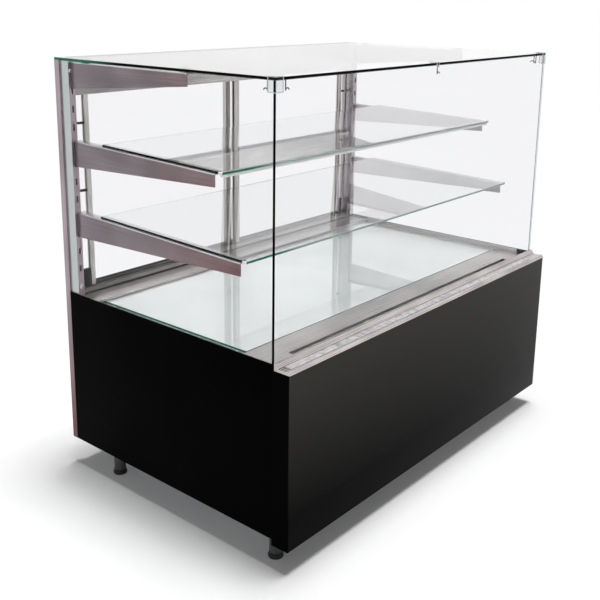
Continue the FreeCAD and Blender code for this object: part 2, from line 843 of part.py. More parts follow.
def service_panel(x, low, high):
    """Removable rear panel with two columns of pressed louvres."""
    body = new_body("service_panel_body")
    pad(body, "XZ", apron_back, apron_face, rectangle(x, (low, high)))
    start = low + s.louvre_first_height
    tip = apron_face + s.louvre_reach
    wall = s.louvre_wall
    column = (x[0] + s.louvre_side_inset, x[0] + s.louvre_side_inset + s.louvre_length)
    hood = pad(body, "YZ", *column, [
        (apron_face, start),
        (tip, start),
        (tip, start + wall),
        (apron_face, start + s.louvre_height),
    ])
    slit = pocket(body, "YZ", column[0] + wall, column[1] - wall, [
        (apron_back - s.cut_overrun, start - wall),
        (tip - wall, start - wall),
        (tip - wall, start + wall / 2),
        (apron_back - s.cut_overrun, start + s.louvre_height - wall),
    ])
    rows = repeat(body, [hood, slit], "Z", s.louvre_pitch, s.louvre_count)
    rows.Direction2 = (origin_feature(body, "X_Axis"), [""])
    second = -column[1] - column[0]
    bind(rows, Length2=second, Occurrences2=2)
    gland_x = x[1] - s.gland_inset
    gland_z = low + s.gland_rise
    neck = s.gland_neck_radius
    neck_x = (gland_x - neck, gland_x + neck)
    neck_z = (gland_z - neck, gland_z + neck)
    inner_end = apron_back - s.cut_overrun
    pocket(body, "XZ", inner_end, tip, rectangle(neck_x, neck_z))
    keep("rear_service_panel", body)
    # The gland is clamped through the panel: its square neck keeps it from turning.
    flange = rod("gland_flange", s.gland_radius, apron_face, s.louvre_reach, gland_x, gland_z)
    square = block("gland_neck", neck_x, (inner_end, apron_face), neck_z)
    bore_start = inner_end - s.cut_overrun
    bore_length = tip - bore_start + s.cut_overrun
    bore = rod("gland_bore", s.gland_bore_radius, bore_start, bore_length, gland_x, gland_z)
    blank = gather("Part::MultiFuse", "gland_blank", [flange, square])
    keep("cable_gland", cut("gland", blank, bore))


def control_middle():
    """Middle of the control plate on the apron's rear face."""
    x = -pillar_inner - s.control_plate_inset - s.control_plate_length / 2
    z = rail_base - s.control_plate_rise
    return x, z


def rocker_hole():
    x, z = control_middle()
    half_width = s.rocker_width / 2 + s.running_gap
    half_length = s.rocker_length / 2 + s.rocker_gap
    middle = x - s.control_pitch / 2
    return (middle - half_width, middle + half_width), (z - half_length, z + half_length)


def shaft_hole():
    x, z = control_middle()
    reach = s.knob_shaft_radius * 2
    middle = x + s.control_pitch / 2
    return (middle - reach, middle + reach), (z - reach, z + reach)


def controls():
    x, z = control_middle()
    half = s.control_plate_length / 2
    tall = s.control_plate_height / 2
    plate_y = (apron_face, apron_face + s.control_plate_thickness)
    knob_x = x + s.control_pitch / 2
    plate = block("control_sheet", (x - half, x + half), plate_y, (z - tall, z + tall))
    hole_x, hole_z = rocker_hole()
    over = s.cut_overrun
    window = block("rocker_window", hole_x, (plate_y[0] - over, plate_y[1] + over), hole_z)
    shaft_hole_radius = s.knob_shaft_radius + s.shaft_gap
    through = s.control_plate_thickness + over * 2
    bore = rod("shaft_window", shaft_hole_radius, plate_y[0] - over, through, knob_x, z)
    keep("control_plate", cut("control_face", plate, window, bore))

    thermo_y = (apron_back - s.thermostat_depth, apron_back)
    size = s.thermostat_length / 2
    case = block("thermostat_case", (knob_x - size, knob_x + size), thermo_y, (z - size, z + size))
    socket_start = apron_back - s.thermostat_depth / 2
    socket = rod("thermostat_socket", shaft_hole_radius, socket_start, s.thermostat_depth, knob_x, z)
    keep("thermostat", cut("thermostat_body", case, socket))

    base = plate_y[1] + s.running_gap
    dial = rod("knob_dial", s.knob_radius, base, s.knob_height / 2, knob_x, z)
    grip_reach = s.knob_radius * s.knob_grip_share
    grip_x = (knob_x - s.knob_grip_width / 2, knob_x + s.knob_grip_width / 2)
    grip_z = (z - grip_reach, z + grip_reach)
    grip = block("knob_grip", grip_x, (base, base + s.knob_height), grip_z)
    shaft_start = socket_start + s.running_gap
    shaft = rod("knob_shaft", s.knob_shaft_radius, shaft_start, base - shaft_start, knob_x, z)
    keep("thermostat_knob", gather("Part::MultiFuse", "knob", [dial, grip, shaft]))

    # The rocker rests in its off position: lower half flush, upper half standing out.
    face = plate_y[1]
    reach = s.rocker_length / 2
    rise = reach * tangent(s.rocker_face_angle)
    back = face - s.rocker_depth
    switch_x = x - s.control_pitch / 2
    extrusion("power_switch", "YZ", switch_x - s.rocker_width / 2, switch_x + s.rocker_width / 2, [
        (back, z - reach / 2),
        (face, z - reach),
        (face, z),
        (face + rise, z + reach),
        (back, z + reach / 2),
    ])


def finned_coil(node, x, y, z, fin_count):
    """A heat exchanger: upright fins on level tubes."""
    body = new_body(f"{node}_body")
    body.AllowCompound = True
    middle = (y[0] + y[1]) / 2
    half = s.tube_radius
    step = (z[1] - z[0]) / (s.tube_row_count + 1)
    first = z[0] + step
    outline = rectangle((middle - half, middle + half), (first - half, first + half))
    tube = pad(body, "YZ", *x, outline)
    repeat(body, [tube], "Z", step, s.tube_row_count)
    fin = pad(body, "YZ", x[0], x[0] + s.fin_thickness, rectangle(y, z))
    repeat(body, [fin], "X", (x[1] - x[0] - s.fin_thickness) / (fin_count - 1), fin_count)
    return keep(node, body)


def fan(node, x, y, z):
    """A bladed fan on its hub. It turns about Y and is bored for its motor's shaft."""
    body = new_body(f"{node}_body")
    half = s.fan_hub_length / 2
    hub = body.newObject("PartDesign::Pad", f"{node}_hub")
    drawing = new_sketch(body, "XZ", ZERO)
    for radius in (s.fan_hub_radius, s.fan_shaft_radius + s.shaft_gap):
        add_circle(drawing, (ZERO, ZERO), radius)
    hub.Profile = drawing
    hub.SideType = "Symmetric"
    bind(hub, Length=half * 2)
    sections = []
    stations = (
        (s.fan_hub_radius - s.blade_root_sink, s.blade_root_chord),
        (s.fan_radius, s.blade_tip_chord),
    )
    for radius, chord in stations:
        thick = s.blade_thickness / 2
        section = sketch(body, "YZ", radius, rectangle((-thick, thick), (-chord / 2, chord / 2)))
        pitch = FreeCAD.Rotation(FreeCAD.Vector(0, 0, 1), s.blade_angle.value)
        section.AttachmentOffset = FreeCAD.Placement(FreeCAD.Vector(0, 0, radius.value), pitch)
        section.setExpression("AttachmentOffset.Rotation.Angle", s.blade_angle.formula)
        sections.append(section)
    blade = body.newObject("PartDesign::AdditiveLoft", f"{node}_blade")
    blade.Profile = sections[0]
    blade.Sections = sections[1:]
    ring = body.newObject("PartDesign::PolarPattern", f"{node}_blades")
    ring.Originals = [blade]
    ring.Axis = (origin_feature(body, "Y_Axis"), [""])
    ring.Angle = 360
    bind(ring, Occurrences=s.blade_count)
    body.Tip = ring
    bind(body, Placement__Base__x=x, Placement__Base__y=y, Placement__Base__z=z)
    return keep(node, body)


def motor(node, x, fan_y, z, floor):
    """A motor behind its fan, on a post, with the shaft that carries the hub."""
    start = fan_y + s.fan_hub_length / 2 + s.motor_gap
    can = rod(f"{node}_can", s.motor_radius, start, s.motor_length, x, z)
    shaft_start = fan_y - s.fan_hub_length / 2
    shaft = rod(f"{node}_shaft", s.fan_shaft_radius, shaft_start, start - shaft_start, x, z)
    stand = motor_post(f"{node}_post", x, start + s.motor_length / 2, (floor, z))
    return gather("Part::MultiFuse", node, [can, shaft, stand])


def motor_post(name, x, y, z):
    """The post under the middle of a motor."""
    half_width, half_depth = s.motor_post_width / 2, s.motor_post_depth / 2
    return block(name, (x - half_width, x + half_width), (y - half_depth, y + half_depth), z)


def evaporator():
    """Coil, fan plate and two fans in the well, which blow towards the front slot."""
    coil_y = (evaporator_rear - s.evaporator_depth, evaporator_rear)
    coil_z = (well_floor, well_floor + s.evaporator_height)
    coil_x = (-evaporator_end, evaporator_end)
    finned_coil("evaporator_coil", coil_x, coil_y, coil_z, s.evaporator_fin_count)
    plate_rear = coil_y[0] - s.fan_plate_gap
    plate_y = (plate_rear - s.fan_plate_thickness, plate_rear)
    fan_y = (plate_y[0] + plate_y[1]) / 2
    fan_z = (well_floor + well_top) / 2
    plate = block("fan_wall", (well_inner, -well_inner), plate_y, (well_floor, well_top))
    holes, motors = [], []
    hole = s.fan_radius + s.fan_tip_gap
    start = plate_y[0] - s.cut_overrun
    depth = s.fan_plate_thickness + s.cut_overrun * 2
    for side, x in (("left", -s.fan_offset), ("right", s.fan_offset)):
        holes.append(rod(f"{side}_fan_hole", hole, start, depth, x, fan_z))
        fan(f"{side}_evaporator_fan", x, fan_y, fan_z)
        motors.append(motor(f"{side}_evaporator_motor", x, fan_y, fan_z, well_floor))
    keep("fan_plate", cut("fan_board", plate, *holes))
    keep("evaporator_fan_motors", gather("Part::Compound", "evaporator_motors", motors))


def condensing_unit():
    """Compressor, condenser and condenser fan on the base tray, behind the service panel."""
    coil_y = (condenser_rear - s.condenser_depth, condenser_rear)
    coil_z = (tray_floor, tray_floor + s.condenser_height)
    x = (-s.condenser_offset - s.condenser_length / 2, -s.condenser_offset + s.condenser_length / 2)
    middle = -s.condenser_offset
    finned_coil("condenser_coil", x, coil_y, coil_z, s.condenser_fin_count)
    shroud_y = (coil_y[0] - s.shroud_depth, coil_y[0])
    hub_z = (coil_z[0] + coil_z[1]) / 2
    hub_y = (shroud_y[0] + shroud_y[1]) / 2
    box = block("shroud_box", x, shroud_y, coil_z)
    hole = s.fan_radius + s.fan_tip_gap
    depth = s.shroud_depth + s.cut_overrun * 2
    mouth = rod("shroud_mouth", hole, shroud_y[0] - s.cut_overrun, depth, middle, hub_z)
    keep("fan_shroud", cut("shroud", box, mouth))
    fan("condenser_fan", middle, hub_y, hub_z)
    # The motor stands on the open side of the shroud, away from the coil.
    start = hub_y - s.fan_hub_length / 2 - s.motor_gap
    can = rod("condenser_motor_can", s.motor_radius, start - s.motor_length, s.motor_length, middle, hub_z)
    reach = s.fan_hub_length + s.motor_gap
    shaft = rod("condenser_motor_shaft", s.fan_shaft_radius, start, reach, middle, hub_z)
    stand = motor_post("condenser_motor_post", middle, start - s.motor_length / 2, (tray_floor, hub_z))
    keep("condenser_fan_motor", gather("Part::MultiFuse", "condenser_motor", [can, shaft, stand]))
    compressor()


def compressor():
    """A hermetic compressor: a welded can with domed ends on a foot plate."""
    x, y = compressor_x, evaporator_middle
    feet_top = tray_floor + s.compressor_foot_height
    low = tray_floor + s.compressor_floor_gap
    high = low + s.compressor_height
    rim, dome = s.compressor_radius, s.compressor_dome_height
    crown, shoulder = s.compressor_crown_radius, s.compressor_shoulder_radius
    can = turned("compressor_can", [
        (ZERO, low),
        (crown, low),
        (shoulder, low + dome / 2),
        (rim, low + dome),
        (rim, high - dome),
        (shoulder, high - dome / 2),
        (crown, high),
        (ZERO, high),
    ], x, y, ZERO)
    half = s.compressor_foot_spread / 2
    width = s.compressor_foot_width / 2
    foot = block("compressor_foot", (x - half, x + half), (y - width, y + width), (tray_floor, feet_top))
    keep("compressor", gather("Part::MultiFuse", "compressor_shell", [can, foot]))


def bent_line(name, plane, at, points):
    """A copper tube that leaves its first point along X and turns each corner on one bend radius."""
    body = new_body(name)
    path = new_sketch(body, plane, at)
    bend = s.line_bend
    steps = list(zip(points, points[1:]))
    ways = [tuple(direction(a, b) for a, b in zip(*step)) for step in steps]
    for i, ((start, end), way) in enumerate(zip(steps, ways)):
        first = [a + bend * w if i > 0 else a for a, w in zip(start, way)]
        last = [b - bend * w if i < len(steps) - 1 else b for b, w in zip(end, way)]
        ends = [FreeCAD.Vector(u.value, v.value, 0) for u, v in (first, last)]
        line = path.addGeometry(Part.LineSegment(*ends), False)
        for position, place in ((1, first), (2, last)):
            tie(path, place, line, position)
    for i, (before, after) in enumerate(zip(ways, ways[1:])):
        turn = before[0] * after[1] - before[1] * after[0]
        corner = points[i + 1]
        middle = [c - bend * b + bend * a for c, b, a in zip(corner, before, after)]
        hub = FreeCAD.Vector(*[m.value for m in middle], 0)
        circle = Part.Circle(hub, FreeCAD.Vector(0, 0, 1), bend.value)
        entry = FreeCAD.Vector(*[(c - bend * b).value for c, b in zip(corner, before)], 0)
        leave = FreeCAD.Vector(*[(c + bend * a).value for c, a in zip(corner, after)], 0)
        ends = (entry, leave) if turn > 0 else (leave, entry)
        arc = path.addGeometry(Part.ArcOfCircle(circle, *[circle.parameter(end) for end in ends]), False)
        near, far = (1, 2) if turn > 0 else (2, 1)
        path.addConstraint(Sketcher.Constraint("Tangent", i, 2, arc, near))
        path.addConstraint(Sketcher.Constraint("Coincident", arc, far, i + 1, 1))
    x, other = points[0]
    centre = (at, other) if plane == "XZ" else (other, at)
    ring = new_sketch(body, "YZ", x)
    add_circle(ring, centre, s.line_radius)
    tube = body.newObject("PartDesign::AdditivePipe", f"{name}_tube")
    tube.Profile = ring
    tube.Spine = (path, [""])
    return body


def direction(a, b):
    """Which way a place lies from another along one axis."""
    return (b.value > a.value) - (b.value < a.value)


def refrigerant_lines():
    """Suction line from the evaporator down to the compressor, and discharge line to the condenser."""
    wall_x = compressor_x + s.compressor_radius
    suction_z = tray_floor + s.suction_height
    coil_z = well_floor + s.evaporator_height / 2
    suction = bent_line("suction_line", "XZ", evaporator_middle, [
        (wall_x, suction_z),
        (suction_x, suction_z),
        (suction_x, coil_z),
        (evaporator_end, coil_z),
    ])
    tube_z = tray_floor + s.condenser_height * s.tube_row_count / (s.tube_row_count + 1)
    discharge = bent_line("discharge_line", "XY", tube_z, [
        (s.condenser_length / 2 - s.condenser_offset, condenser_middle),
        (compressor_x, condenser_middle),
        (compressor_x, evaporator_middle + s.compressor_radius),
    ])
    keep("refrigerant_lines", gather("Part::Compound", "copper_lines", [suction, discharge]))


side_panel()
front_panel()
base_tray()
feet()
pillars()
shelves()
glass_box()
glass_clips()
rear_rails()
doors()
well_and_deck()
label_rail()
rear_panels()
controls()
evaporator()
condensing_unit()
refrigerant_lines()

doc.recompute()
for item in doc.Objects:
    if {"Invalid", "Error"} & set(item.State):
        raise RuntimeError(f"{item.Label} failed: {item.State}")
for node, piece in parts.items():
    if piece.Shape.isNull() or not piece.Shape.isValid():
        raise RuntimeError(f"{node} has no valid shape")
os.makedirs("parts", exist_ok=True)
for node, piece in parts.items():
    piece.Shape.exportStep(os.path.join("parts", f"{node}.step"))
    print(f"{node}: {len(piece.Shape.Solids)} solid(s), {piece.Shape.Volume / 1000:.1f} cm3")
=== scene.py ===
import json
import math

import bmesh
import bpy
from mathutils import Matrix, Vector


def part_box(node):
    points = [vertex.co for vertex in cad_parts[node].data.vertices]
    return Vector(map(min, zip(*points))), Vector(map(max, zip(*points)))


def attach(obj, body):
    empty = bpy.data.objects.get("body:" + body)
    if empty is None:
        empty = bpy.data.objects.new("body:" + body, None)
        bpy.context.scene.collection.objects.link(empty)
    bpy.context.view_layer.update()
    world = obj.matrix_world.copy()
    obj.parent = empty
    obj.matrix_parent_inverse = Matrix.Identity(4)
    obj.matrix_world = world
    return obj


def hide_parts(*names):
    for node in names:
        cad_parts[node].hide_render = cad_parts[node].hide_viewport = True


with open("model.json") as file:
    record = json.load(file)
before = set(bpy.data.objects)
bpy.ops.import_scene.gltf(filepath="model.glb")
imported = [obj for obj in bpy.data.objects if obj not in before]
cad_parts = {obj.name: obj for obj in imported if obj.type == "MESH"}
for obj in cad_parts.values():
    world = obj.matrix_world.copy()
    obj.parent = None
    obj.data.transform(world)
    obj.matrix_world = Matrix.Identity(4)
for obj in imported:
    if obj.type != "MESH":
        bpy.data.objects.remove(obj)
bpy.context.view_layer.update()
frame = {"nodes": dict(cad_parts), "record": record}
MM = 0.001


# ---------------------------------------------------------------- materials

def srgb(code):
    """Linear colour of an sRGB hex value."""
    channels = [int(code[i:i + 2], 16) / 255 for i in (1, 3, 5)]
    return (*[c / 12.92 if c <= 0.04045 else ((c + 0.055) / 1.055) ** 2.4 for c in channels], 1.0)


def add(tree, kind, inputs=None, **settings):
    """Adds a node, sets it up and gives its inputs their values or links."""
    node = tree.nodes.new(kind)
    for name, value in settings.items():
        setattr(node, name, value)
    for socket, value in (inputs or {}).items():
        if isinstance(value, bpy.types.NodeSocket):
            tree.links.new(value, node.inputs[socket])
        else:
            node.inputs[socket].default_value = value
    return node


def new_material(name):
    """An empty material, its nodes and the place of a point on the part."""
    material = bpy.data.materials.new(name)
    material.use_nodes = True
    tree = material.node_tree
    tree.nodes.clear()
    return material, tree, add(tree, "ShaderNodeTexCoord").outputs["Object"]


def ramp(tree, factor, *stops):
    """A colour ramp through (place, hex colour) stops."""
    node = add(tree, "ShaderNodeValToRGB", {"Fac": factor})
    band = node.color_ramp.elements
    while len(band) < len(stops):
        band.new(1.0)
    for element, (place, code) in zip(band, stops):
        element.position = place
        element.color = srgb(code)
    return node.outputs["Color"]


def mottle(tree, place, patch_mm, detail):
    """A random tone that changes from patch to patch."""
    return add(tree, "ShaderNodeTexNoise", {
        "Vector": place, "Scale": 1 / (patch_mm * MM), "Detail": detail}).outputs["Fac"]


def share_along(tree, place, axis, start, end):
    """How far a point lies from one place to another along an axis, in millimetres."""
    parts = add(tree, "ShaderNodeSeparateXYZ", {"Vector": place})
    return add(tree, "ShaderNodeMapRange", {
        "Value": parts.outputs[axis], "From Min": start * MM, "From Max": end * MM}).outputs[0]


def blend(tree, share, first, second):
    """One colour turning into another. The Mix node's colour sockets are reached by number."""
    return add(tree, "ShaderNodeMix", {0: share, 6: first, 7: second}, data_type="RGBA").outputs[2]


def covered_by_glass(tree, place, side_mm, front_mm):
    """1 on the strip of a pillar's outer face that the side glass covers, and 0 elsewhere: the mask of a
    painted reflection.
    """
    parts = add(tree, "ShaderNodeSeparateXYZ", {"Vector": place})
    out = add(tree, "ShaderNodeMath", {0: parts.outputs["X"]}, operation="ABSOLUTE")
    outer = add(tree, "ShaderNodeMath", {0: out.outputs[0], 1: side_mm * MM}, operation="GREATER_THAN")
    fore = add(tree, "ShaderNodeMath", {0: parts.outputs["Y"], 1: front_mm * MM}, operation="LESS_THAN")
    both = add(tree, "ShaderNodeMath", {0: outer.outputs[0], 1: fore.outputs[0]}, operation="MULTIPLY")
    return both.outputs[0]


def brushed_stainless(name, deep, pale, grain, roughness=0.3, fade=None, seat=None):
    """Stainless sheet, belt-brushed along its length: fine streaks that spread the reflections."""
    material, tree, place = new_material(name)
    # Real grit lines are about 0.2 mm wide. They are drawn 1.5 mm wide and 300 mm long, so that they show.
    wide_mm, long_mm = 1.5, 300
    scale = [1 / ((long_mm if axis == grain else wide_mm) * MM) for axis in "XYZ"]
    stretched = add(tree, "ShaderNodeMapping", {"Vector": place, "Scale": scale})
    streaks = add(tree, "ShaderNodeTexNoise", {
        "Vector": stretched.outputs[0], "Scale": 1.0, "Detail": 3.0}).outputs["Fac"]
    # Broad cloudy tone, about 150 mm from patch to patch
    clouds = mottle(tree, place, 150, 1.0)
    tone = add(tree, "ShaderNodeMix", {"Factor": 0.45, "A": streaks, "B": clouds}).outputs[0]
    colour = ramp(tree, tone, (0.38, deep), (0.62, pale))
    if fade:
        # Painted shade: the sheet is duller and warmer towards one end.
        *stretch, end_deep, end_pale = fade
        end_colour = ramp(tree, tone, (0.38, end_deep), (0.62, end_pale))
        colour = blend(tree, share_along(tree, place, *stretch), colour, end_colour)
    # Painted reflection: a pale colour on the strip that the glass covers.
    if seat:
        *edges, bright = seat
        colour = blend(tree, covered_by_glass(tree, place, *edges), colour, srgb(bright))
    rough = add(tree, "ShaderNodeMapRange", {
        "Value": streaks, "To Min": roughness - 0.06, "To Max": roughness + 0.08})
    bump = add(tree, "ShaderNodeBump", {"Height": streaks, "Strength": 0.05, "Distance": 0.1 * MM})
    shader = add(tree, "ShaderNodeBsdfPrincipled", {
        "Base Color": colour, "Metallic": 1.0, "Roughness": rough.outputs[0], "Normal": bump.outputs[0]})
    add(tree, "ShaderNodeOutputMaterial", {"Surface": shader.outputs[0]})
    return material


def let_light_through(tree, solid, tint):
    """Ends a clear material: it shows as a solid, and lamps shine straight through it with a slight loss."""
    clear = add(tree, "ShaderNodeBsdfTransparent", {"Color": srgb(tint)})
    shadow = add(tree, "ShaderNodeLightPath").outputs["Is Shadow Ray"]
    lit = add(tree, "ShaderNodeMixShader", {0: shadow, 1: solid.outputs[0], 2: clear.outputs[0]})
    add(tree, "ShaderNodeOutputMaterial", {"Surface": lit.outputs[0]})


def clear_glass(name, tint, bend):
    """Float glass: clear through its face, with faint wipe marks in its gloss."""
    material, tree, place = new_material(name)
    # Wipe marks, about 40 mm apart, show only in the sharpness of reflections.
    wipes = mottle(tree, place, 40, 2.0)
    rough = add(tree, "ShaderNodeMapRange", {"Value": wipes, "To Min": 0.0, "To Max": 0.012})
    solid = add(tree, "ShaderNodeBsdfPrincipled", {
        "Base Color": srgb(tint), "Transmission Weight": 1.0, "IOR": bend, "Roughness": rough.outputs[0]})
    let_light_through(tree, solid, "#f3f5f5")
    return material


def glass_edge(name, deep, pale, fade=None):
    """Polished edge of a sheet, in painted shade: an opaque dark colour from outside stands for the light that
    runs on inside the sheet.
    """
    material, tree, place = new_material(name)
    # A fade along an axis is painted light. Without a fade, the tone changes slowly along the edge, about 300
    # mm from dark to dark.
    tone = share_along(tree, place, *fade) if fade else mottle(tree, place, 300, 1.0)
    outside = add(tree, "ShaderNodeBsdfPrincipled", {
        "Base Color": ramp(tree, tone, (0.35, deep), (0.65, pale)), "Roughness": 0.1,
        "Specular IOR Level": 0.02})
    inside = add(tree, "ShaderNodeBsdfTransparent", {"Color": srgb("#d5dcda")})
    side = add(tree, "ShaderNodeNewGeometry").outputs["Backfacing"]
    both = add(tree, "ShaderNodeMixShader", {0: side, 1: outside.outputs[0], 2: inside.outputs[0]})
    add(tree, "ShaderNodeOutputMaterial", {"Surface": both.outputs[0]})
    return material


def clear_plastic(name, tint):
    """Moulded polycarbonate: clear, a little greyer and softer in its reflections than glass."""
    material, tree, place = new_material(name)
    # Flow marks of the moulding, about 6 mm apart
    flow = mottle(tree, place, 6, 2.0)
    bump = add(tree, "ShaderNodeBump", {"Height": flow, "Strength": 0.15, "Distance": 0.3 * MM})
    solid = add(tree, "ShaderNodeBsdfPrincipled", {
        "Base Color": srgb(tint), "Transmission Weight": 1.0, "IOR": 1.15, "Roughness": 0.03,
        "Normal": bump.outputs[0]})
    let_light_through(tree, solid, "#eeeeee")
    return material


def coated(name, deep, pale, grain_mm, roughness, sheen, bump_share, fade=None, cloud_mm=220.0):
    """Paint, enamel, rubber or moulded plastic: one colour with a fine grain in its gloss."""
    material, tree, place = new_material(name)
    grain = mottle(tree, place, grain_mm, 2.0)
    # A colour that runs along one axis: the front panel's painted shade.
    if fade:
        colour = ramp(tree, share_along(tree, place, *fade), (0.0, deep), (1.0, pale))
    else:
        colour = ramp(tree, mottle(tree, place, cloud_mm, 2.0), (0.3, deep), (0.7, pale))
    rough = add(tree, "ShaderNodeMapRange", {
        "Value": grain, "To Min": roughness * 0.85, "To Max": roughness * 1.15})
    bump = add(tree, "ShaderNodeBump", {"Height": grain, "Strength": bump_share, "Distance": 0.1 * MM})
    shader = add(tree, "ShaderNodeBsdfPrincipled", {
        "Base Color": colour, "Roughness": rough.outputs[0], "Specular IOR Level": sheen,
        "Normal": bump.outputs[0]})
    add(tree, "ShaderNodeOutputMaterial", {"Surface": shader.outputs[0]})
    return material


# Pillars: plum-grey sheet, with painted shade that makes it redder and darker down to the floor, and a painted
# reflection that makes it pale green-grey behind the side glass. The right one is a paler copy, as painted
# light.
pillar_painted_shade = ("Z", 560, 120, "#634747", "#775858")
pillar_painted_reflection = (643.5, 404.5, "#c6cccb")
far_pillar_steel = brushed_stainless("pillar_stainless_painted_lit", "#a8a2a5", "#bbb5b8", "Z", 0.3,
                                     pillar_painted_shade, pillar_painted_reflection)
pillar_steel = brushed_stainless("pillar_stainless_brushed", "#94888d", "#a89ba1", "Z", 0.3,
                                 pillar_painted_shade, pillar_painted_reflection)
# Brackets: dark webs with painted shade that turns them red-brown towards the front, and a paler copy for the
# right side as painted light. Faces of the bend that look up carry a painted highlight.
bracket_steel = brushed_stainless("bracket_stainless_brushed", "#736a6d", "#8f868a", "Y", 0.3,
                                  ("Y", 120, -250, "#6c5252", "#8c7272"))
bend_painted_highlight = brushed_stainless("bracket_bend_painted_highlight", "#c3bfc1", "#dbd8d9", "Y", 0.22)
far_bracket_steel = brushed_stainless("bracket_stainless_painted_lit", "#aaa4a6", "#c4bfc0", "Y")
# Rails, strips and deck: long pale streaks along the case. The rails are greyer towards the left end, as
# painted shade.
rail_steel = brushed_stainless("rail_stainless_brushed", "#aca8a6", "#c9c6c4", "X", 0.25,
                               ("X", 0, -560, "#7f7c7a", "#9a9795"))
strip_steel = brushed_stainless("deck_strip_stainless_brushed", "#aca7a5", "#c4bfbd", "X", 0.28)
deck_steel = brushed_stainless("deck_plate_stainless_bright", "#cfcdcc", "#dfdddc", "X", 0.42)
label_aluminium = brushed_stainless("label_rail_aluminium_anodised", "#a7a09e", "#d0cac8", "X", 0.25)
door_aluminium = brushed_stainless("door_aluminium_anodised", "#b3b0ad", "#d3d0cc", "Z", 0.32)
# Metals inside the base: bluish zinc, pale fins, dull grey castings and bright copper
galvanised = brushed_stainless("base_sheet_galvanised", "#8f9598", "#b4b9bb", "X", 0.45)
fins = brushed_stainless("coil_aluminium_pressed", "#a9acae", "#c9cccd", "Z", 0.4)
motor_grey = brushed_stainless("motor_casing_die_cast", "#55575a", "#707275", "Z", 0.5)
copper = brushed_stainless("refrigerant_copper_drawn", "#a4572f", "#c9774a", "X", 0.3)
# The case glass hardly mirrors its surroundings, so it is drawn with a low refraction.
# The shelves, the deck and the top mirror more.
glass = clear_glass("case_glass_float", "#f9f9fa", 1.12)
shelf_glass = clear_glass("shelf_glass_float", "#f6f7f7", 1.5)
# Glass edges: almost black, as painted shade, but pale grey on the right-hand sheet, as painted light
dark_edge = glass_edge("glass_edge_polished_dark", "#020504", "#050c0b")
pale_edge = glass_edge("glass_edge_painted_light_pale", "#9aa2a4", "#bcc3c5")
# The top sheet's edge is teal towards the rear and almost black towards the front: painted light.
top_edge = glass_edge("glass_edge_painted_light_teal", "#040908", "#2b8a6e", ("Y", 0, 440))
# Shelf edges are deep green at the left end and greyer from there on. The deck's stays dark green. The green
# is the glass's own tint, and its change along an edge is painted light.
green_edge = glass_edge("glass_edge_polished_green", "#1f6a55", "#8d9d99", ("X", -650, -300))
deck_edge = glass_edge("deck_glass_edge_ground", "#1f6a55", "#1d4a3d", ("X", -650, -560))
# Small fittings: white frosted lips, which on the clips are also a painted highlight, dark wire, clear caps,
# plain printed marks
frosted_and_highlight = coated("clip_lip_frosted_painted_highlight", "#e4e8e8", "#f2f5f5", 1.0, 0.5, 0.4, 0.2)
wire_steel = brushed_stainless("hook_wire_steel_drawn", "#5f5858", "#857d7d", "Z", 0.2)
pointer_white = coated("pointer_print_white", "#e6e6e6", "#f0f0f0", 0.6, 0.6, 0.3, 0.1)
dial_black = coated("dial_print_black", "#0b0b0b", "#121212", 0.6, 0.6, 0.2, 0.1)
clip_plastic = clear_plastic("clip_polycarbonate_moulded", "#e9ecec")
# The clear insert carries a painted reflection: a broken, cloudy image of the room.
insert_plastic = coated("label_insert_pvc_painted_reflection", "#969395", "#c6c4c6", 5.0, 0.1, 0.8, 0.5,
                        cloud_mm=12.0)
# Panels: dead black sides, a greyer rear, and a glossy front whose colour lightens towards its top, as painted
# shade
side_black = coated("side_panel_powder_coat_black", "#060506", "#0a090a", 1.2, 0.5, 0.006, 0.2)
rear_black = coated("rear_panel_powder_coat_black", "#141414", "#1a1a1b", 1.2, 0.4, 0.5, 0.25)
front_black = coated("front_panel_enamel_black_painted_shade", "#010101", "#42413e", 3.0, 0.12, 0.02, 0.03,
                     ("Z", 150, 500))
# Plastics, enamel and rubber: even colours with a fine grain
diffuser = coated("lamp_diffuser_opal_acrylic", "#dcdada", "#e9e7e7", 2.0, 0.35, 0.5, 0.05)
liner = coated("well_liner_moulded_white", "#d4d4d1", "#e0e0dd", 2.0, 0.4, 0.5, 0.1)
black_plastic = coated("control_abs_moulded_black", "#111112", "#19191a", 0.8, 0.45, 0.4, 0.25)
compressor_black = coated("compressor_enamel_black", "#0a0a0a", "#121212", 2.5, 0.2, 0.5, 0.08)
rubber = coated("buffer_rubber_moulded_black", "#131414", "#1b1c1c", 0.8, 0.6, 0.3, 0.3)
screw_zinc = brushed_stainless("screw_stainless_polished", "#b9b5b4", "#d6d3d2", "X", 0.18)
foot_grey = coated("foot_nylon_moulded_grey", "#4b4a4d", "#5e5d60", 1.0, 0.45, 0.4, 0.2)

finishes = {
    "stainless_steel": strip_steel,
    "black_coated_steel": side_black,
    "gloss_black_steel": front_black,
    "galvanised_steel": galvanised,
    "clear_glass": glass,
    "clear_plastic": clip_plastic,
    "anodised_aluminium": door_aluminium,
    "lamp_diffuser": diffuser,
    "foam_liner": liner,
    "finned_aluminium": fins,
    "black_plastic": black_plastic,
    "motor_casing": motor_grey,
    "compressor_enamel": compressor_black,
    "copper_tube": copper,
    "foot_plastic": foot_grey,
}
own_finish = {
    "left_pillar": pillar_steel, "right_pillar": far_pillar_steel,
    "rear_service_panel": rear_black, "rear_apron": rear_black,
    "rear_top_rail": rail_steel, "rear_bottom_rail": rail_steel,
    "deck_plate": deck_steel, "label_rail": label_aluminium, "label_insert": insert_plastic,
}


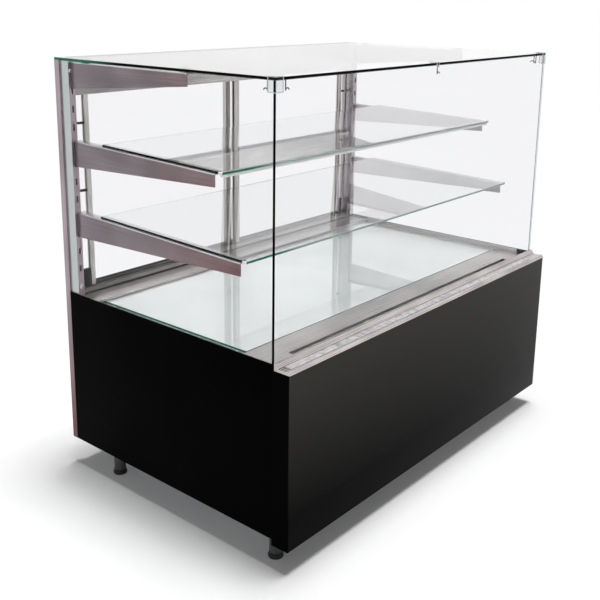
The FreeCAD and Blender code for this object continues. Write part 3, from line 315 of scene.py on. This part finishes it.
def dress_solids():
    """Gives every CAD node its finish."""
    for part in frame["record"]["subparts"]:
        name = part["node"]
        finish = own_finish.get(name, finishes[part["material_slot"]])
        if name.endswith("_bracket"):
            finish = bracket_steel
        solid = frame["nodes"][name]
        for slot in solid.material_slots:
            slot.material = finish
        if not solid.material_slots:
            solid.data.materials.append(finish)


# ---------------------------------------------------------------- modelling

LEFT, RIGHT, FORE, REAR, DOWN, UP = (-1, 0, 0), (1, 0, 0), (0, -1, 0), (0, 1, 0), (0, 0, -1), (0, 0, 1)
MIRROR = Matrix.Scale(-1, 4, RIGHT)
FACE_REAR = Matrix.Rotation(math.radians(-90), 4, "X")
FACE_FRONT = Matrix.Rotation(math.radians(90), 4, "X")


def mm(*lengths):
    """A place or step given in millimetres."""
    return Vector(lengths) * MM


def settled(name):
    """Names the piece that was just added and puts its place, turn and size into its mesh."""
    piece = bpy.context.object
    piece.name = piece.data.name = name
    bpy.ops.object.transform_apply(location=True, rotation=True, scale=True)
    return piece


def block(name, low, high):
    """A box between two corners, to be shaped further."""
    bpy.ops.object.select_all(action="DESELECT")
    bpy.ops.mesh.primitive_cube_add(size=1, location=(low + high) / 2, scale=high - low)
    return settled(name)


def select(*pieces):
    """Selects these pieces alone and works on the first."""
    bpy.ops.object.select_all(action="DESELECT")
    for piece in pieces:
        piece.select_set(True)
    bpy.context.view_layer.objects.active = pieces[0]


def pick(piece, kind, test):
    """Opens a piece in edit mode with the vertices, edges or faces selected that pass a test."""
    select(piece)
    bpy.ops.object.mode_set(mode="EDIT")
    bpy.ops.mesh.select_mode(type=kind)
    bpy.ops.mesh.select_all(action="DESELECT")
    mesh = bmesh.from_edit_mesh(piece.data)
    for item in {"VERT": mesh.verts, "EDGE": mesh.edges, "FACE": mesh.faces}[kind]:
        item.select_set(test(item))
    mesh.select_flush_mode()
    bmesh.update_edit_mesh(piece.data)


def shape(piece, kind, test, tool, **settings):
    """Works one operator on the selected part of a piece."""
    pick(piece, kind, test)
    tool(**settings)
    bpy.ops.object.mode_set(mode="OBJECT")


def everything(item):
    """A test that all pass."""
    return True


def faces_towards(way):
    """A test for the faces that look in one direction."""
    return lambda face: face.normal.dot(Vector(way)) > 0.9


def soften(piece, width, segments=2, test=everything):
    """Takes the sharpness off edges."""
    shape(piece, "EDGE", test, bpy.ops.mesh.bevel, offset=width * MM, segments=segments, affect="EDGES",
          clamp_overlap=True)


def turned(name, centre, profile, sides=32):
    """A round upright piece: a disc drawn up through (radius, height) steps in millimetres."""
    bpy.ops.object.select_all(action="DESELECT")
    radius, height = profile[0]
    bpy.ops.mesh.primitive_circle_add(vertices=sides, radius=radius * MM, fill_type="NGON",
                                      location=centre + mm(0, 0, height))
    piece = settled(name)
    pick(piece, "FACE", everything)
    for next_radius, next_height in profile[1:]:
        step = mm(0, 0, next_height - height)
        bpy.ops.mesh.extrude_region_move(TRANSFORM_OT_translate={"value": step})
        share = next_radius / radius
        bpy.ops.transform.resize(value=(share, share, 1), center_override=centre + mm(0, 0, next_height))
        radius, height = next_radius, next_height
    bpy.ops.mesh.select_all(action="SELECT")
    bpy.ops.mesh.normals_make_consistent(inside=False)
    bpy.ops.object.mode_set(mode="OBJECT")
    return piece


def thicken(piece, wall):
    """Gives an open shell its wall, inwards."""
    select(piece)
    modifier = piece.modifiers.new("wall", "SOLIDIFY")
    modifier.thickness = wall * MM
    modifier.offset = -1
    modifier.use_even_offset = True
    bpy.ops.object.modifier_apply(modifier=modifier.name)


def copied(piece, name, matrix):
    """A copy with its own mesh, moved or turned to its place."""
    twin = piece.copy()
    twin.data = piece.data.copy()
    twin.name = twin.data.name = name
    bpy.context.scene.collection.objects.link(twin)
    twin.data.transform(matrix)
    if matrix.determinant() < 0:
        twin.data.flip_normals()
    return twin


def joined(name, members):
    """Several shapes made one piece."""
    select(*members)
    if len(members) > 1:
        bpy.ops.object.join()
    members[0].name = members[0].data.name = name
    return members[0]


def two_finishes(piece, first, second, takes_second):
    """Gives a piece its main finish, and another one to the faces that pass a test."""
    piece.data.materials.append(first)
    piece.data.materials.append(second)
    for face in piece.data.polygons:
        face.material_index = 1 if takes_second(face) else 0


def fitted(piece, body, slot, finish, *stands_for):
    """Gives a finished piece its look and its body, and hides the CAD nodes that it stands for."""
    if not piece.data.materials:
        piece.data.materials.append(finish)
    select(piece)
    bpy.ops.object.shade_smooth_by_angle(angle=math.radians(35))
    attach(piece, body)
    if stands_for:
        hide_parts(*stands_for)
    return piece


# ---------------------------------------------------------------- glass

ARRIS = 0.7  # mm that is ground off a sheet's edges


def edged(piece, thin, finish, rims):
    """Gives a sheet its glass and the rims their edge finish, by the way that each face looks."""
    piece.data.materials.append(finish)
    for index, (way, edge) in enumerate(rims, 1):
        piece.data.materials.append(edge)
        for face in piece.data.polygons:
            if abs(face.normal[thin]) < 0.9 and face.normal.dot(Vector(way)) > 0.6:
                face.material_index = index


def glass_sheet(node, body, trim_low, trim_high, finish=glass, edge=dark_edge,
                rims=(LEFT, RIGHT, FORE, REAR, DOWN, UP), arris=ARRIS):
    """A sheet with ground edges, kept clear of its neighbours by a hair's gap.

    Rims that are housed stay clear.
    """
    low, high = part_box(node)
    piece = block(f"{node}_sheet", low + mm(*trim_low), high - mm(*trim_high))
    thin = min(range(3), key=lambda axis: high[axis] - low[axis])
    soften(piece, arris, 1)
    edged(piece, thin, finish, [(way, edge) for way in rims])
    return fitted(piece, body, "clear_glass", finish, node)


def glass_shelf(node):
    """A shelf that slopes down to the front with its brackets."""
    low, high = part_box(node)
    thickness = 6 * MM
    lift = mm(0, 0, 0.3)
    piece = block(f"{node}_sheet", low, Vector((high.x, high.y, low.z + thickness)))
    middle = (low.y + high.y) / 2
    rise = high.z - low.z - thickness
    shape(piece, "VERT", lambda v: v.co.y > middle, bpy.ops.transform.translate, value=(0, 0, rise))
    shape(piece, "VERT", everything, bpy.ops.transform.translate, value=lift)
    soften(piece, ARRIS, 1)
    edged(piece, 2, shelf_glass, [
        (LEFT, dark_edge), (RIGHT, dark_edge), (FORE, green_edge), (REAR, green_edge)])
    return fitted(piece, "case", "clear_glass", shelf_glass, node)


def glass_box():
    """All sheets. The pillars house the rear rims of the side sheets."""
    glass_sheet("left_glass", "case", (0, 0.4, 0.4), (0.2, 0.2, 0.4), glass, dark_edge, (FORE, UP, DOWN))
    glass_sheet("right_glass", "case", (0.2, 0.4, 0.4), (0, 0.2, 0.4), glass, pale_edge, (FORE, UP, DOWN))
    glass_sheet("front_glass", "case", (0, 0.2, 0.4), (0, 0.2, 0.4))
    glass_sheet("top_glass", "case", (0, 0, 0), (0, 0, 0), shelf_glass, top_edge)
    # A wider arris along the deck's front shows as a thin green line.
    glass_sheet("deck_glass", "case", (0.2, 1.5, 0.3), (0.2, 0.2, 0.2), shelf_glass, deck_edge,
                (LEFT, RIGHT, FORE, REAR), 2.0)
    for side in ("left", "right"):
        glass_sheet(f"{side}_door_pane", f"{side}_door", (0.2, 0.2, 0), (0.2, 0.2, 0))
    glass_shelf("upper_shelf")
    glass_shelf("lower_shelf")


def wire_hook(name, place, along):
    """A wire hook that hangs from a pad under the top glass and curls up along the glass."""
    pad = turned(f"{name}_pad", place, [(4, 0), (4, -1.2), (3.2, -1.8), (1.2, -1.8)], 20)
    wire, length, curl = 1.5, 26, 6
    stem = turned(name, place, [(wire, -1.6), (wire, -length)], 10)
    pick(stem, "FACE", lambda face: face.calc_center_median().z < place.z - (length - 1) * MM)
    bpy.ops.mesh.spin(steps=10, angle=math.radians(-165), axis=along.cross(Vector(DOWN)),
                      center=place + along * (curl * MM) + mm(0, 0, -length))
    bpy.ops.mesh.select_all(action="SELECT")
    bpy.ops.mesh.remove_doubles(threshold=0.00001)
    bpy.ops.mesh.normals_make_consistent(inside=False)
    bpy.ops.object.mode_set(mode="OBJECT")
    return [pad, stem]


def clip_cap(name, low, high, open_ways):
    """A clear cap that grips the sheets at the top, with a white frosted lip round its open edges as a painted
    highlight.
    """
    cap = block(name, low, high)
    for way in open_ways:
        shape(cap, "FACE", faces_towards(way), bpy.ops.mesh.delete, type="FACE")
    lip = 1.8 * MM
    rims = [(Vector(way), high if sum(way) > 0 else low) for way in open_ways]
    for way, rim in rims:
        shape(cap, "FACE", everything, bpy.ops.mesh.bisect, plane_co=rim - way * lip, plane_no=way)
    thicken(cap, 1.2)
    # The lip takes the white finish, as a painted highlight.
    two_finishes(cap, clip_plastic, frosted_and_highlight, lambda face: any(
        (rim - face.center).dot(way) < lip * 0.99 for way, rim in rims))
    return cap


def glass_clips():
    """Clear caps over the top glass at the front corners and in the middle, each with its hooks."""
    low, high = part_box("glass_clips")
    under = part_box("top_glass")[0].z - 0.1 * MM
    arm, corner_drop, middle_drop, half = 25 * MM, 36 * MM, 16 * MM, 6 * MM
    corner = clip_cap("corner_cap", Vector((low.x, low.y, high.z - corner_drop)),
                      Vector((low.x + arm, low.y + arm, high.z)), (RIGHT, REAR, DOWN))
    middle = clip_cap("middle_cap", Vector((-half, low.y, high.z - middle_drop)),
                      Vector((half, low.y + arm, high.z)), (RIGHT, LEFT, REAR, DOWN))
    hooks = wire_hook("side_hook", Vector((low.x + 14 * MM, low.y + 36 * MM, under)), Vector(REAR))
    hooks += wire_hook("front_hook", Vector((low.x + 46 * MM, low.y + 14 * MM, under)), Vector(RIGHT))
    twins = [copied(piece, f"right_{piece.name}", MIRROR) for piece in (corner, *hooks)]
    hooks += wire_hook("middle_hook", Vector((16 * MM, low.y + 14 * MM, under)), Vector(RIGHT))
    caps = joined("glass_clip_caps", [corner, middle, twins[0]])
    fitted(caps, "case", "clear_plastic", clip_plastic, "glass_clips")
    fitted(joined("glass_clip_hooks", [*hooks, *twins[1:]]), "case", "stainless_steel", wire_steel)


# ---------------------------------------------------------------- steel and trim

SHEET = 2.8  # mm wall of folded sheet


def base_panels():
    """Folded front pan with rounded edges, and the two side panels."""
    low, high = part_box("front_panel")
    pan = block("front_panel_pan", low, high)
    shape(pan, "FACE", faces_towards(REAR), bpy.ops.mesh.delete, type="FACE")
    front = low.y + MM
    soften(pan, 2.5, 4, lambda edge: all(v.co.y < front for v in edge.verts))
    thicken(pan, SHEET)
    # The front faces take the front finish with its painted shade.
    two_finishes(pan, side_black, front_black, lambda face: face.normal.y < -0.3)
    fitted(pan, "case", "gloss_black_steel", front_black, "front_panel")
    for side in ("left", "right"):
        node = f"{side}_side_panel"
        panel = block(f"{node}_board", *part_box(node))
        soften(panel, 1.0, 3)
        fitted(panel, "case", "black_coated_steel", side_black, node)


def brackets():
    """Shelf brackets folded from sheet: a tapered web with a rounded bend into the top flange."""
    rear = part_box("left_pillar")[0].y
    rear_height, front_height, bend = 72 * MM, 33 * MM, 4.5
    tilt = math.tan(math.radians(1.8))
    for place, slope in (("top", 0.0), ("upper", tilt), ("lower", tilt)):
        low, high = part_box(f"{place}_left_bracket")
        fold = block(f"{place}_left_bracket_fold", Vector((low.x, low.y, high.z - rear_height)),
                     Vector((high.x, rear - 0.2 * MM, high.z)))
        for way in (RIGHT, DOWN, REAR, FORE):
            shape(fold, "FACE", faces_towards(way), bpy.ops.mesh.delete, type="FACE")
        middle = (low.y + rear) / 2
        fall = (rear - low.y) * slope
        top = high.z - MM
        shape(fold, "VERT", lambda v: v.co.y < middle and v.co.z > top, bpy.ops.transform.translate,
              value=(0, 0, -fall))
        shape(fold, "VERT", lambda v: v.co.y < middle and v.co.z < top - 50 * MM, bpy.ops.transform.translate,
              value=(0, 0, rear_height - front_height - fall))
        edge = low.x + MM
        soften(fold, bend, 6, lambda e: all(v.co.x < edge and v.co.z > top - fall - MM for v in e.verts)
               and len(e.link_faces) == 2)
        thicken(fold, SHEET)
        twin = copied(fold, f"{place}_right_bracket_fold", MIRROR)
        # The right brackets take the paler copy as painted light, and faces that look up take the painted
        # highlight.
        for piece, sheet, side in ((fold, bracket_steel, "left"), (twin, far_bracket_steel, "right")):
            two_finishes(piece, sheet, bend_painted_highlight, lambda face: face.normal.z > 0.2)
            fitted(piece, "case", "stainless_steel", sheet, f"{place}_{side}_bracket")


def label_insert():
    """Clear extruded strip that lies in the label rail, with a raised edge all round."""
    low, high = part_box("label_insert")
    strip = block("label_insert_strip", low + mm(0, 0.4, 0.3), high - mm(0, 0.4, 0.9))
    shape(strip, "FACE", faces_towards(UP), bpy.ops.mesh.inset, thickness=1.6 * MM, depth=-0.4 * MM)
    soften(strip, 0.3, 2)
    fitted(strip, "case", "clear_plastic", insert_plastic, "label_insert")


def printed(name, words, size, place):
    """A figure printed on the rear, read from behind the case."""
    bpy.ops.object.select_all(action="DESELECT")
    bpy.ops.object.text_add(location=(0, 0, 0))
    sign = bpy.context.object
    sign.data.body, sign.data.size, sign.data.extrude = words, size * MM, 0.1 * MM
    sign.data.align_x, sign.data.align_y = "CENTER", "CENTER"
    bpy.ops.object.convert(target="MESH")
    sign = bpy.context.object
    sign.name = sign.data.name = name
    sign.data.transform(Matrix.Translation(place) @ Matrix.Rotation(math.pi, 4, "Z") @ FACE_FRONT)
    return sign


def thermostat_knob():
    """Ribbed knob with a white pointer."""
    low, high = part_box("thermostat_knob")
    centre = (low + high) / 2
    radius = (high.x - low.x) / 2 / MM
    depth = (high.y - low.y) / MM
    knob = turned("thermostat_knob_cap", Vector(), [
        (radius, 0), (radius, depth * 0.18), (radius * 0.86, depth * 0.26), (radius * 0.8, depth * 0.92),
        (radius * 0.74, depth), (radius * 0.3, depth)], 36)
    wall = depth * 0.5 * MM

    def every_other_side(face):
        number = round(math.atan2(face.normal.y, face.normal.x) / math.radians(10) - 0.5)
        return abs(face.calc_center_median().z - wall) < wall * 0.4 and number % 2 == 0

    shape(knob, "FACE", every_other_side, bpy.ops.mesh.inset, thickness=0.25 * MM, depth=-0.9 * MM,
          use_individual=True)
    knob.data.transform(Matrix.Translation(Vector((centre.x, low.y, centre.z))) @ FACE_REAR)
    fitted(knob, "thermostat_knob", "black_plastic", black_plastic, "thermostat_knob")
    half = 0.7 * MM
    pointer = block("thermostat_pointer",
                    Vector((centre.x - half, high.y - 0.3 * MM, centre.z + radius * 0.3 * MM)),
                    Vector((centre.x + half, high.y + 0.2 * MM, centre.z + radius * 0.72 * MM)))
    soften(pointer, 0.15, 1)
    fitted(pointer, "thermostat_knob", "black_plastic", pointer_white)


def control_marks():
    """Figures round the knob, in the order in which it turns, and the marks of the rocker."""
    low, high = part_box("thermostat_knob")
    centre = (low + high) / 2
    reach = (high.x - low.x) / 2 + 6 * MM
    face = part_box("control_plate")[1].y + 0.05 * MM
    marks = []
    for figure in range(7):
        angle = math.radians(figure * 45)
        place = Vector((centre.x + math.sin(angle) * reach, face, centre.z + math.cos(angle) * reach))
        marks.append(printed(f"dial_figure_{figure}", str(figure), 5.5, place))
    low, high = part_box("power_switch")
    gap = 7 * MM
    for mark, height in (("I", high.z + gap), ("O", low.z - gap)):
        place = Vector(((low.x + high.x) / 2, face, height))
        marks.append(printed(f"switch_mark_{mark}", mark, 6.5, place))
    fitted(joined("control_plate_marks", marks), "case", "black_plastic", dial_black)


def shelf_pads():
    """Frosted pads on the shelves' front corners, where a hand could meet the glass."""
    pads = []
    for place in ("upper", "lower"):
        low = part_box(f"{place}_shelf")[0]
        pad = block("shelf_pad", low + mm(-1.8, 0.5, 0.2), low + mm(-0.1, 13, 6.8))
        shape(pad, "FACE", faces_towards(RIGHT), bpy.ops.mesh.inset, thickness=1.0 * MM, depth=-0.6 * MM)
        soften(pad, 0.3, 2)
        pads += [pad, copied(pad, "right_shelf_pad", MIRROR)]
    fitted(joined("shelf_corner_pads", pads), "case", "clear_plastic", frosted_and_highlight)


def rail_beads():
    """Black beads along the upper and lower edge of the rear bottom rail's front."""
    low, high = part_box("rear_bottom_rail")
    end = 6 * MM
    tall = 2.6 * MM
    beads = []
    for height in (low.z + 0.6 * MM, high.z - 3.2 * MM):
        bead = block("rail_bead", Vector((low.x + end, low.y - 1.4 * MM, height)),
                     Vector((high.x - end, low.y - 0.1 * MM, height + tall)))
        soften(bead, 0.5, 2)
        beads.append(bead)
    fitted(joined("rear_rail_beads", beads), "case", "black_plastic", rubber)


def side_linings():
    """Bright strips that line the side panels' upper edges above the deck."""
    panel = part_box("left_side_panel")[1]
    deck_low, deck_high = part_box("deck_plate")
    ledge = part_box("rear_ledge")[0].y
    lining = block("left_side_lining", Vector((panel.x + 0.1 * MM, deck_low.y, deck_high.z + 0.2 * MM)),
                   Vector((panel.x + 1.3 * MM, ledge - 0.3 * MM, panel.z - 0.3 * MM)))
    soften(lining, 0.4, 2)
    twin = copied(lining, "right_side_lining", MIRROR)
    for piece in (lining, twin):
        fitted(piece, "case", "stainless_steel", deck_steel)


def dome_screw(name, radius):
    """A domed screw head with a round socket, looking up."""
    dome = [(1, 0), (1, 0.15), (0.92, 0.34), (0.72, 0.52), (0.45, 0.6), (0.4, 0.3), (0.05, 0.3)]
    return turned(name, Vector(), [(radius * out, radius * up) for out, up in dome], 24)


def screws():
    """Screws of the pillars, the rear panels and the control plate."""
    head = dome_screw("screw_head", 4.0)
    mid = dome_screw("mid_screw_head", 5.4)
    large = dome_screw("large_screw_head", 6.5)
    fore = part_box("left_pillar")[0].y
    sets = {"pillar_screws": [], "rear_panel_screws": [], "control_screws": []}
    for sign in (-1, 1):
        for piece, x, z in ((mid, 638.2, 1166), (large, 634, 559)):
            place = Matrix.Translation(Vector((sign * x * MM, fore, z * MM)))
            sets["pillar_screws"].append(copied(piece, "pillar_screw", place @ FACE_FRONT))
    low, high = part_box("rear_service_panel")
    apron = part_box("rear_apron")[1]
    inset = 14 * MM
    for x in (low.x + inset, 0, high.x - inset):
        for z in (low.z + inset, high.z - inset, apron.z - inset):
            place = Matrix.Translation(Vector((x, apron.y, z)))
            sets["rear_panel_screws"].append(copied(head, "panel_screw", place @ FACE_REAR))
    low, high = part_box("control_plate")
    inset = 7 * MM
    small = Matrix.Scale(0.7, 4)
    for x in (low.x + inset, high.x - inset):
        for z in (low.z + inset, high.z - inset):
            place = Matrix.Translation(Vector((x, high.y, z)))
            sets["control_screws"].append(copied(head, "control_screw", place @ FACE_REAR @ small))
    for piece in (head, mid, large):
        bpy.data.objects.remove(piece)
    for name, members in sets.items():
        fitted(joined(name, members), "case", "stainless_steel", screw_zinc)


def door_fittings():
    """Carriers at the doors' lower outer corners, and buffers above them on the outer edges."""
    outer, wide, proud = 612 * MM, 20 * MM, 3 * MM
    for side, sign in (("left", -1), ("right", 1)):
        low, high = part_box(f"{side}_door_pane")
        ends = sorted((sign * outer, sign * (outer - wide)))
        members = []
        for height, tall in ((552, 50), (828, 6), (1018, 6)):
            piece = block("buffer", Vector((ends[0], low.y - proud, height * MM)),
                          Vector((ends[1], high.y + proud, (height + tall) * MM)))
            soften(piece, 1.2, 2)
            members.append(piece)
        fitted(joined(f"{side}_door_buffers", members), f"{side}_door", "black_plastic", rubber)


def shelf_lamp():
    """Lamp under the upper shelf: an aluminium channel, an opal cover and two end caps."""
    low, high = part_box("shelf_lamp")
    skirt = 3 * MM
    trim = 0.7 * MM
    end = 2 * MM
    top = high.z - trim
    base = top - 7.5 * MM
    channel = block("lamp_channel", Vector((low.x + end, low.y + trim, top - skirt)),
                    Vector((high.x - end, high.y - trim, top)))
    shape(channel, "FACE", faces_towards(DOWN), bpy.ops.mesh.inset, thickness=1.2 * MM, depth=-2 * MM)
    soften(channel, 0.3, 1)
    fitted(channel, "case", "lamp_diffuser", door_aluminium, "shelf_lamp")
    cover = block("lamp_cover", Vector((low.x + end, low.y + trim * 2, base)),
                  Vector((high.x - end, high.y - trim * 2, top - skirt)))
    soften(cover, 2.5, 4, lambda edge: all(v.co.z < base + MM for v in edge.verts))
    fitted(cover, "case", "lamp_diffuser", diffuser)
    caps = []
    for start in (low.x, high.x - end):
        cap = block("lamp_cap", Vector((start, low.y, base)), Vector((start + end, high.y, top)))
        soften(cap, 0.6, 2)
        caps.append(cap)
    fitted(joined("lamp_end_caps", caps), "case", "lamp_diffuser", frosted_and_highlight)


def feet():
    """Levelling feet: grey leg with a gripping collar, on a rounded rubber pad."""
    leg = turned("foot_leg", Vector(), [
        (17.6, 15), (17.6, 17), (16.6, 18), (16.6, 60), (18, 61), (18, 74), (17, 75.5), (17, 80.5)])
    pad = turned("foot_pad", Vector(), [
        (17.5, 0), (19.4, 1.2), (20, 3), (20, 6), (19, 8.5), (17.8, 10), (17.8, 15)])
    for corner in ("front_left", "front_right", "rear_left", "rear_right"):
        foot = f"{corner}_foot"
        low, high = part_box(foot)
        place = Matrix.Translation(Vector(((low.x + high.x) / 2, (low.y + high.y) / 2, 0)))
        fitted(copied(leg, f"{foot}_leg", place), foot, "foot_plastic", foot_grey, foot)
        fitted(copied(pad, f"{foot}_pad", place), foot, "foot_plastic", rubber)
    for piece in (leg, pad):
        bpy.data.objects.remove(piece)


# ---------------------------------------------------------------- studio

def seen_directly(tree):
    """1 for what the camera sees, also in metal and through glass, and 0 for what only lights the case."""
    path = add(tree, "ShaderNodeLightPath")
    seen = add(tree, "ShaderNodeMath", {0: path.outputs["Is Camera Ray"], 1: path.outputs["Is Glossy Ray"]},
               operation="ADD")
    return add(tree, "ShaderNodeMath", {0: seen.outputs[0], 1: path.outputs["Is Transmission Ray"]},
               operation="ADD", use_clamp=True).outputs[0]


def studio_floor():
    """Pale floor that shows white but keeps the soft shadow of the case."""
    material, tree, place = new_material("studio_floor_paper")
    # Paper that is never quite even, about 2 m from patch to patch
    colour = ramp(tree, mottle(tree, place, 2000, 1.0), (0.3, "#f7f7f7"), (0.7, "#f9f9f9"))
    matt = add(tree, "ShaderNodeBsdfDiffuse", {"Color": colour})
    # A faint lift, so that the open floor is white and the shadow stays
    lift = add(tree, "ShaderNodeMath", {0: seen_directly(tree), 1: 0.07}, operation="MULTIPLY")
    glow = add(tree, "ShaderNodeEmission", {"Color": srgb("#ffffff"), "Strength": lift.outputs[0]})
    both = add(tree, "ShaderNodeAddShader", {0: matt.outputs[0], 1: glow.outputs[0]})
    add(tree, "ShaderNodeOutputMaterial", {"Surface": both.outputs[0]})
    bpy.ops.object.select_all(action="DESELECT")
    bpy.ops.mesh.primitive_plane_add(size=60.0, location=(0, 0, 0))
    floor = bpy.context.object
    floor.name = "studio_floor"
    floor.data.materials.append(material)


def studio_light():
    """A broad lamp high above, and a room that looks white but lights the case only softly."""
    world = bpy.data.worlds.new("studio_world")
    bpy.context.scene.world = world
    world.use_nodes = True
    tree = world.node_tree
    tree.nodes.clear()
    soft = add(tree, "ShaderNodeBackground", {"Color": srgb("#ffffff"), "Strength": 0.16})
    white = add(tree, "ShaderNodeBackground", {"Color": srgb("#ffffff"), "Strength": 1.0})
    mixed = add(tree, "ShaderNodeMixShader", {0: seen_directly(tree), 1: soft.outputs[0], 2: white.outputs[0]})
    add(tree, "ShaderNodeOutputWorld", {"Surface": mixed.outputs[0]})
    bpy.ops.object.light_add(type="SUN", location=(-1.0, -1.5, 4.0))
    lamp = bpy.context.object
    lamp.name = "soft_sun"
    lamp.data.energy = 2.65
    lamp.data.angle = math.radians(20)
    shines = Vector((-0.1, 0.03, -1.0))
    lamp.rotation_euler = shines.to_track_quat("-Z", "Y").to_euler()


def studio_camera():
    """Camera at the photograph's height and angle, fitted to the case's corners."""
    azimuth, elevation, roll = (math.radians(a) for a in (-49.93, 13.91, 0.77))
    back = Vector((math.sin(azimuth) * math.cos(elevation), -math.cos(azimuth) * math.cos(elevation),
                   math.sin(elevation)))
    level = Vector((math.cos(azimuth), math.sin(azimuth), 0))
    up = back.cross(level)
    right = level * math.cos(roll) + up * math.sin(roll)
    top = up * math.cos(roll) - level * math.sin(roll)
    bpy.ops.object.camera_add()
    camera = bpy.context.object
    camera.name = "photo_camera"
    turn = Matrix((right, top, back)).transposed().to_4x4()
    camera.matrix_world = Matrix.Translation((-2.0929, -1.6630, 1.3742)) @ turn
    camera.data.sensor_width = 36.0
    camera.data.lens = 53.84
    camera.data.shift_y = -0.14
    camera.data.clip_end = 200.0
    bpy.context.scene.camera = camera


dress_solids()
glass_box()
glass_clips()
brackets()
shelf_pads()
rail_beads()
side_linings()
label_insert()
thermostat_knob()
control_marks()
base_panels()
screws()
door_fittings()
shelf_lamp()
feet()
studio_floor()
studio_light()
studio_camera()

scene = bpy.context.scene
scene.view_settings.view_transform = "Standard"
# Sheets seen through sheets need more than the usual number of light bounces.
scene.cycles.max_bounces = 24
scene.cycles.transmission_bounces = 24
scene.cycles.glossy_bounces = 12
scene.cycles.transparent_max_bounces = 24
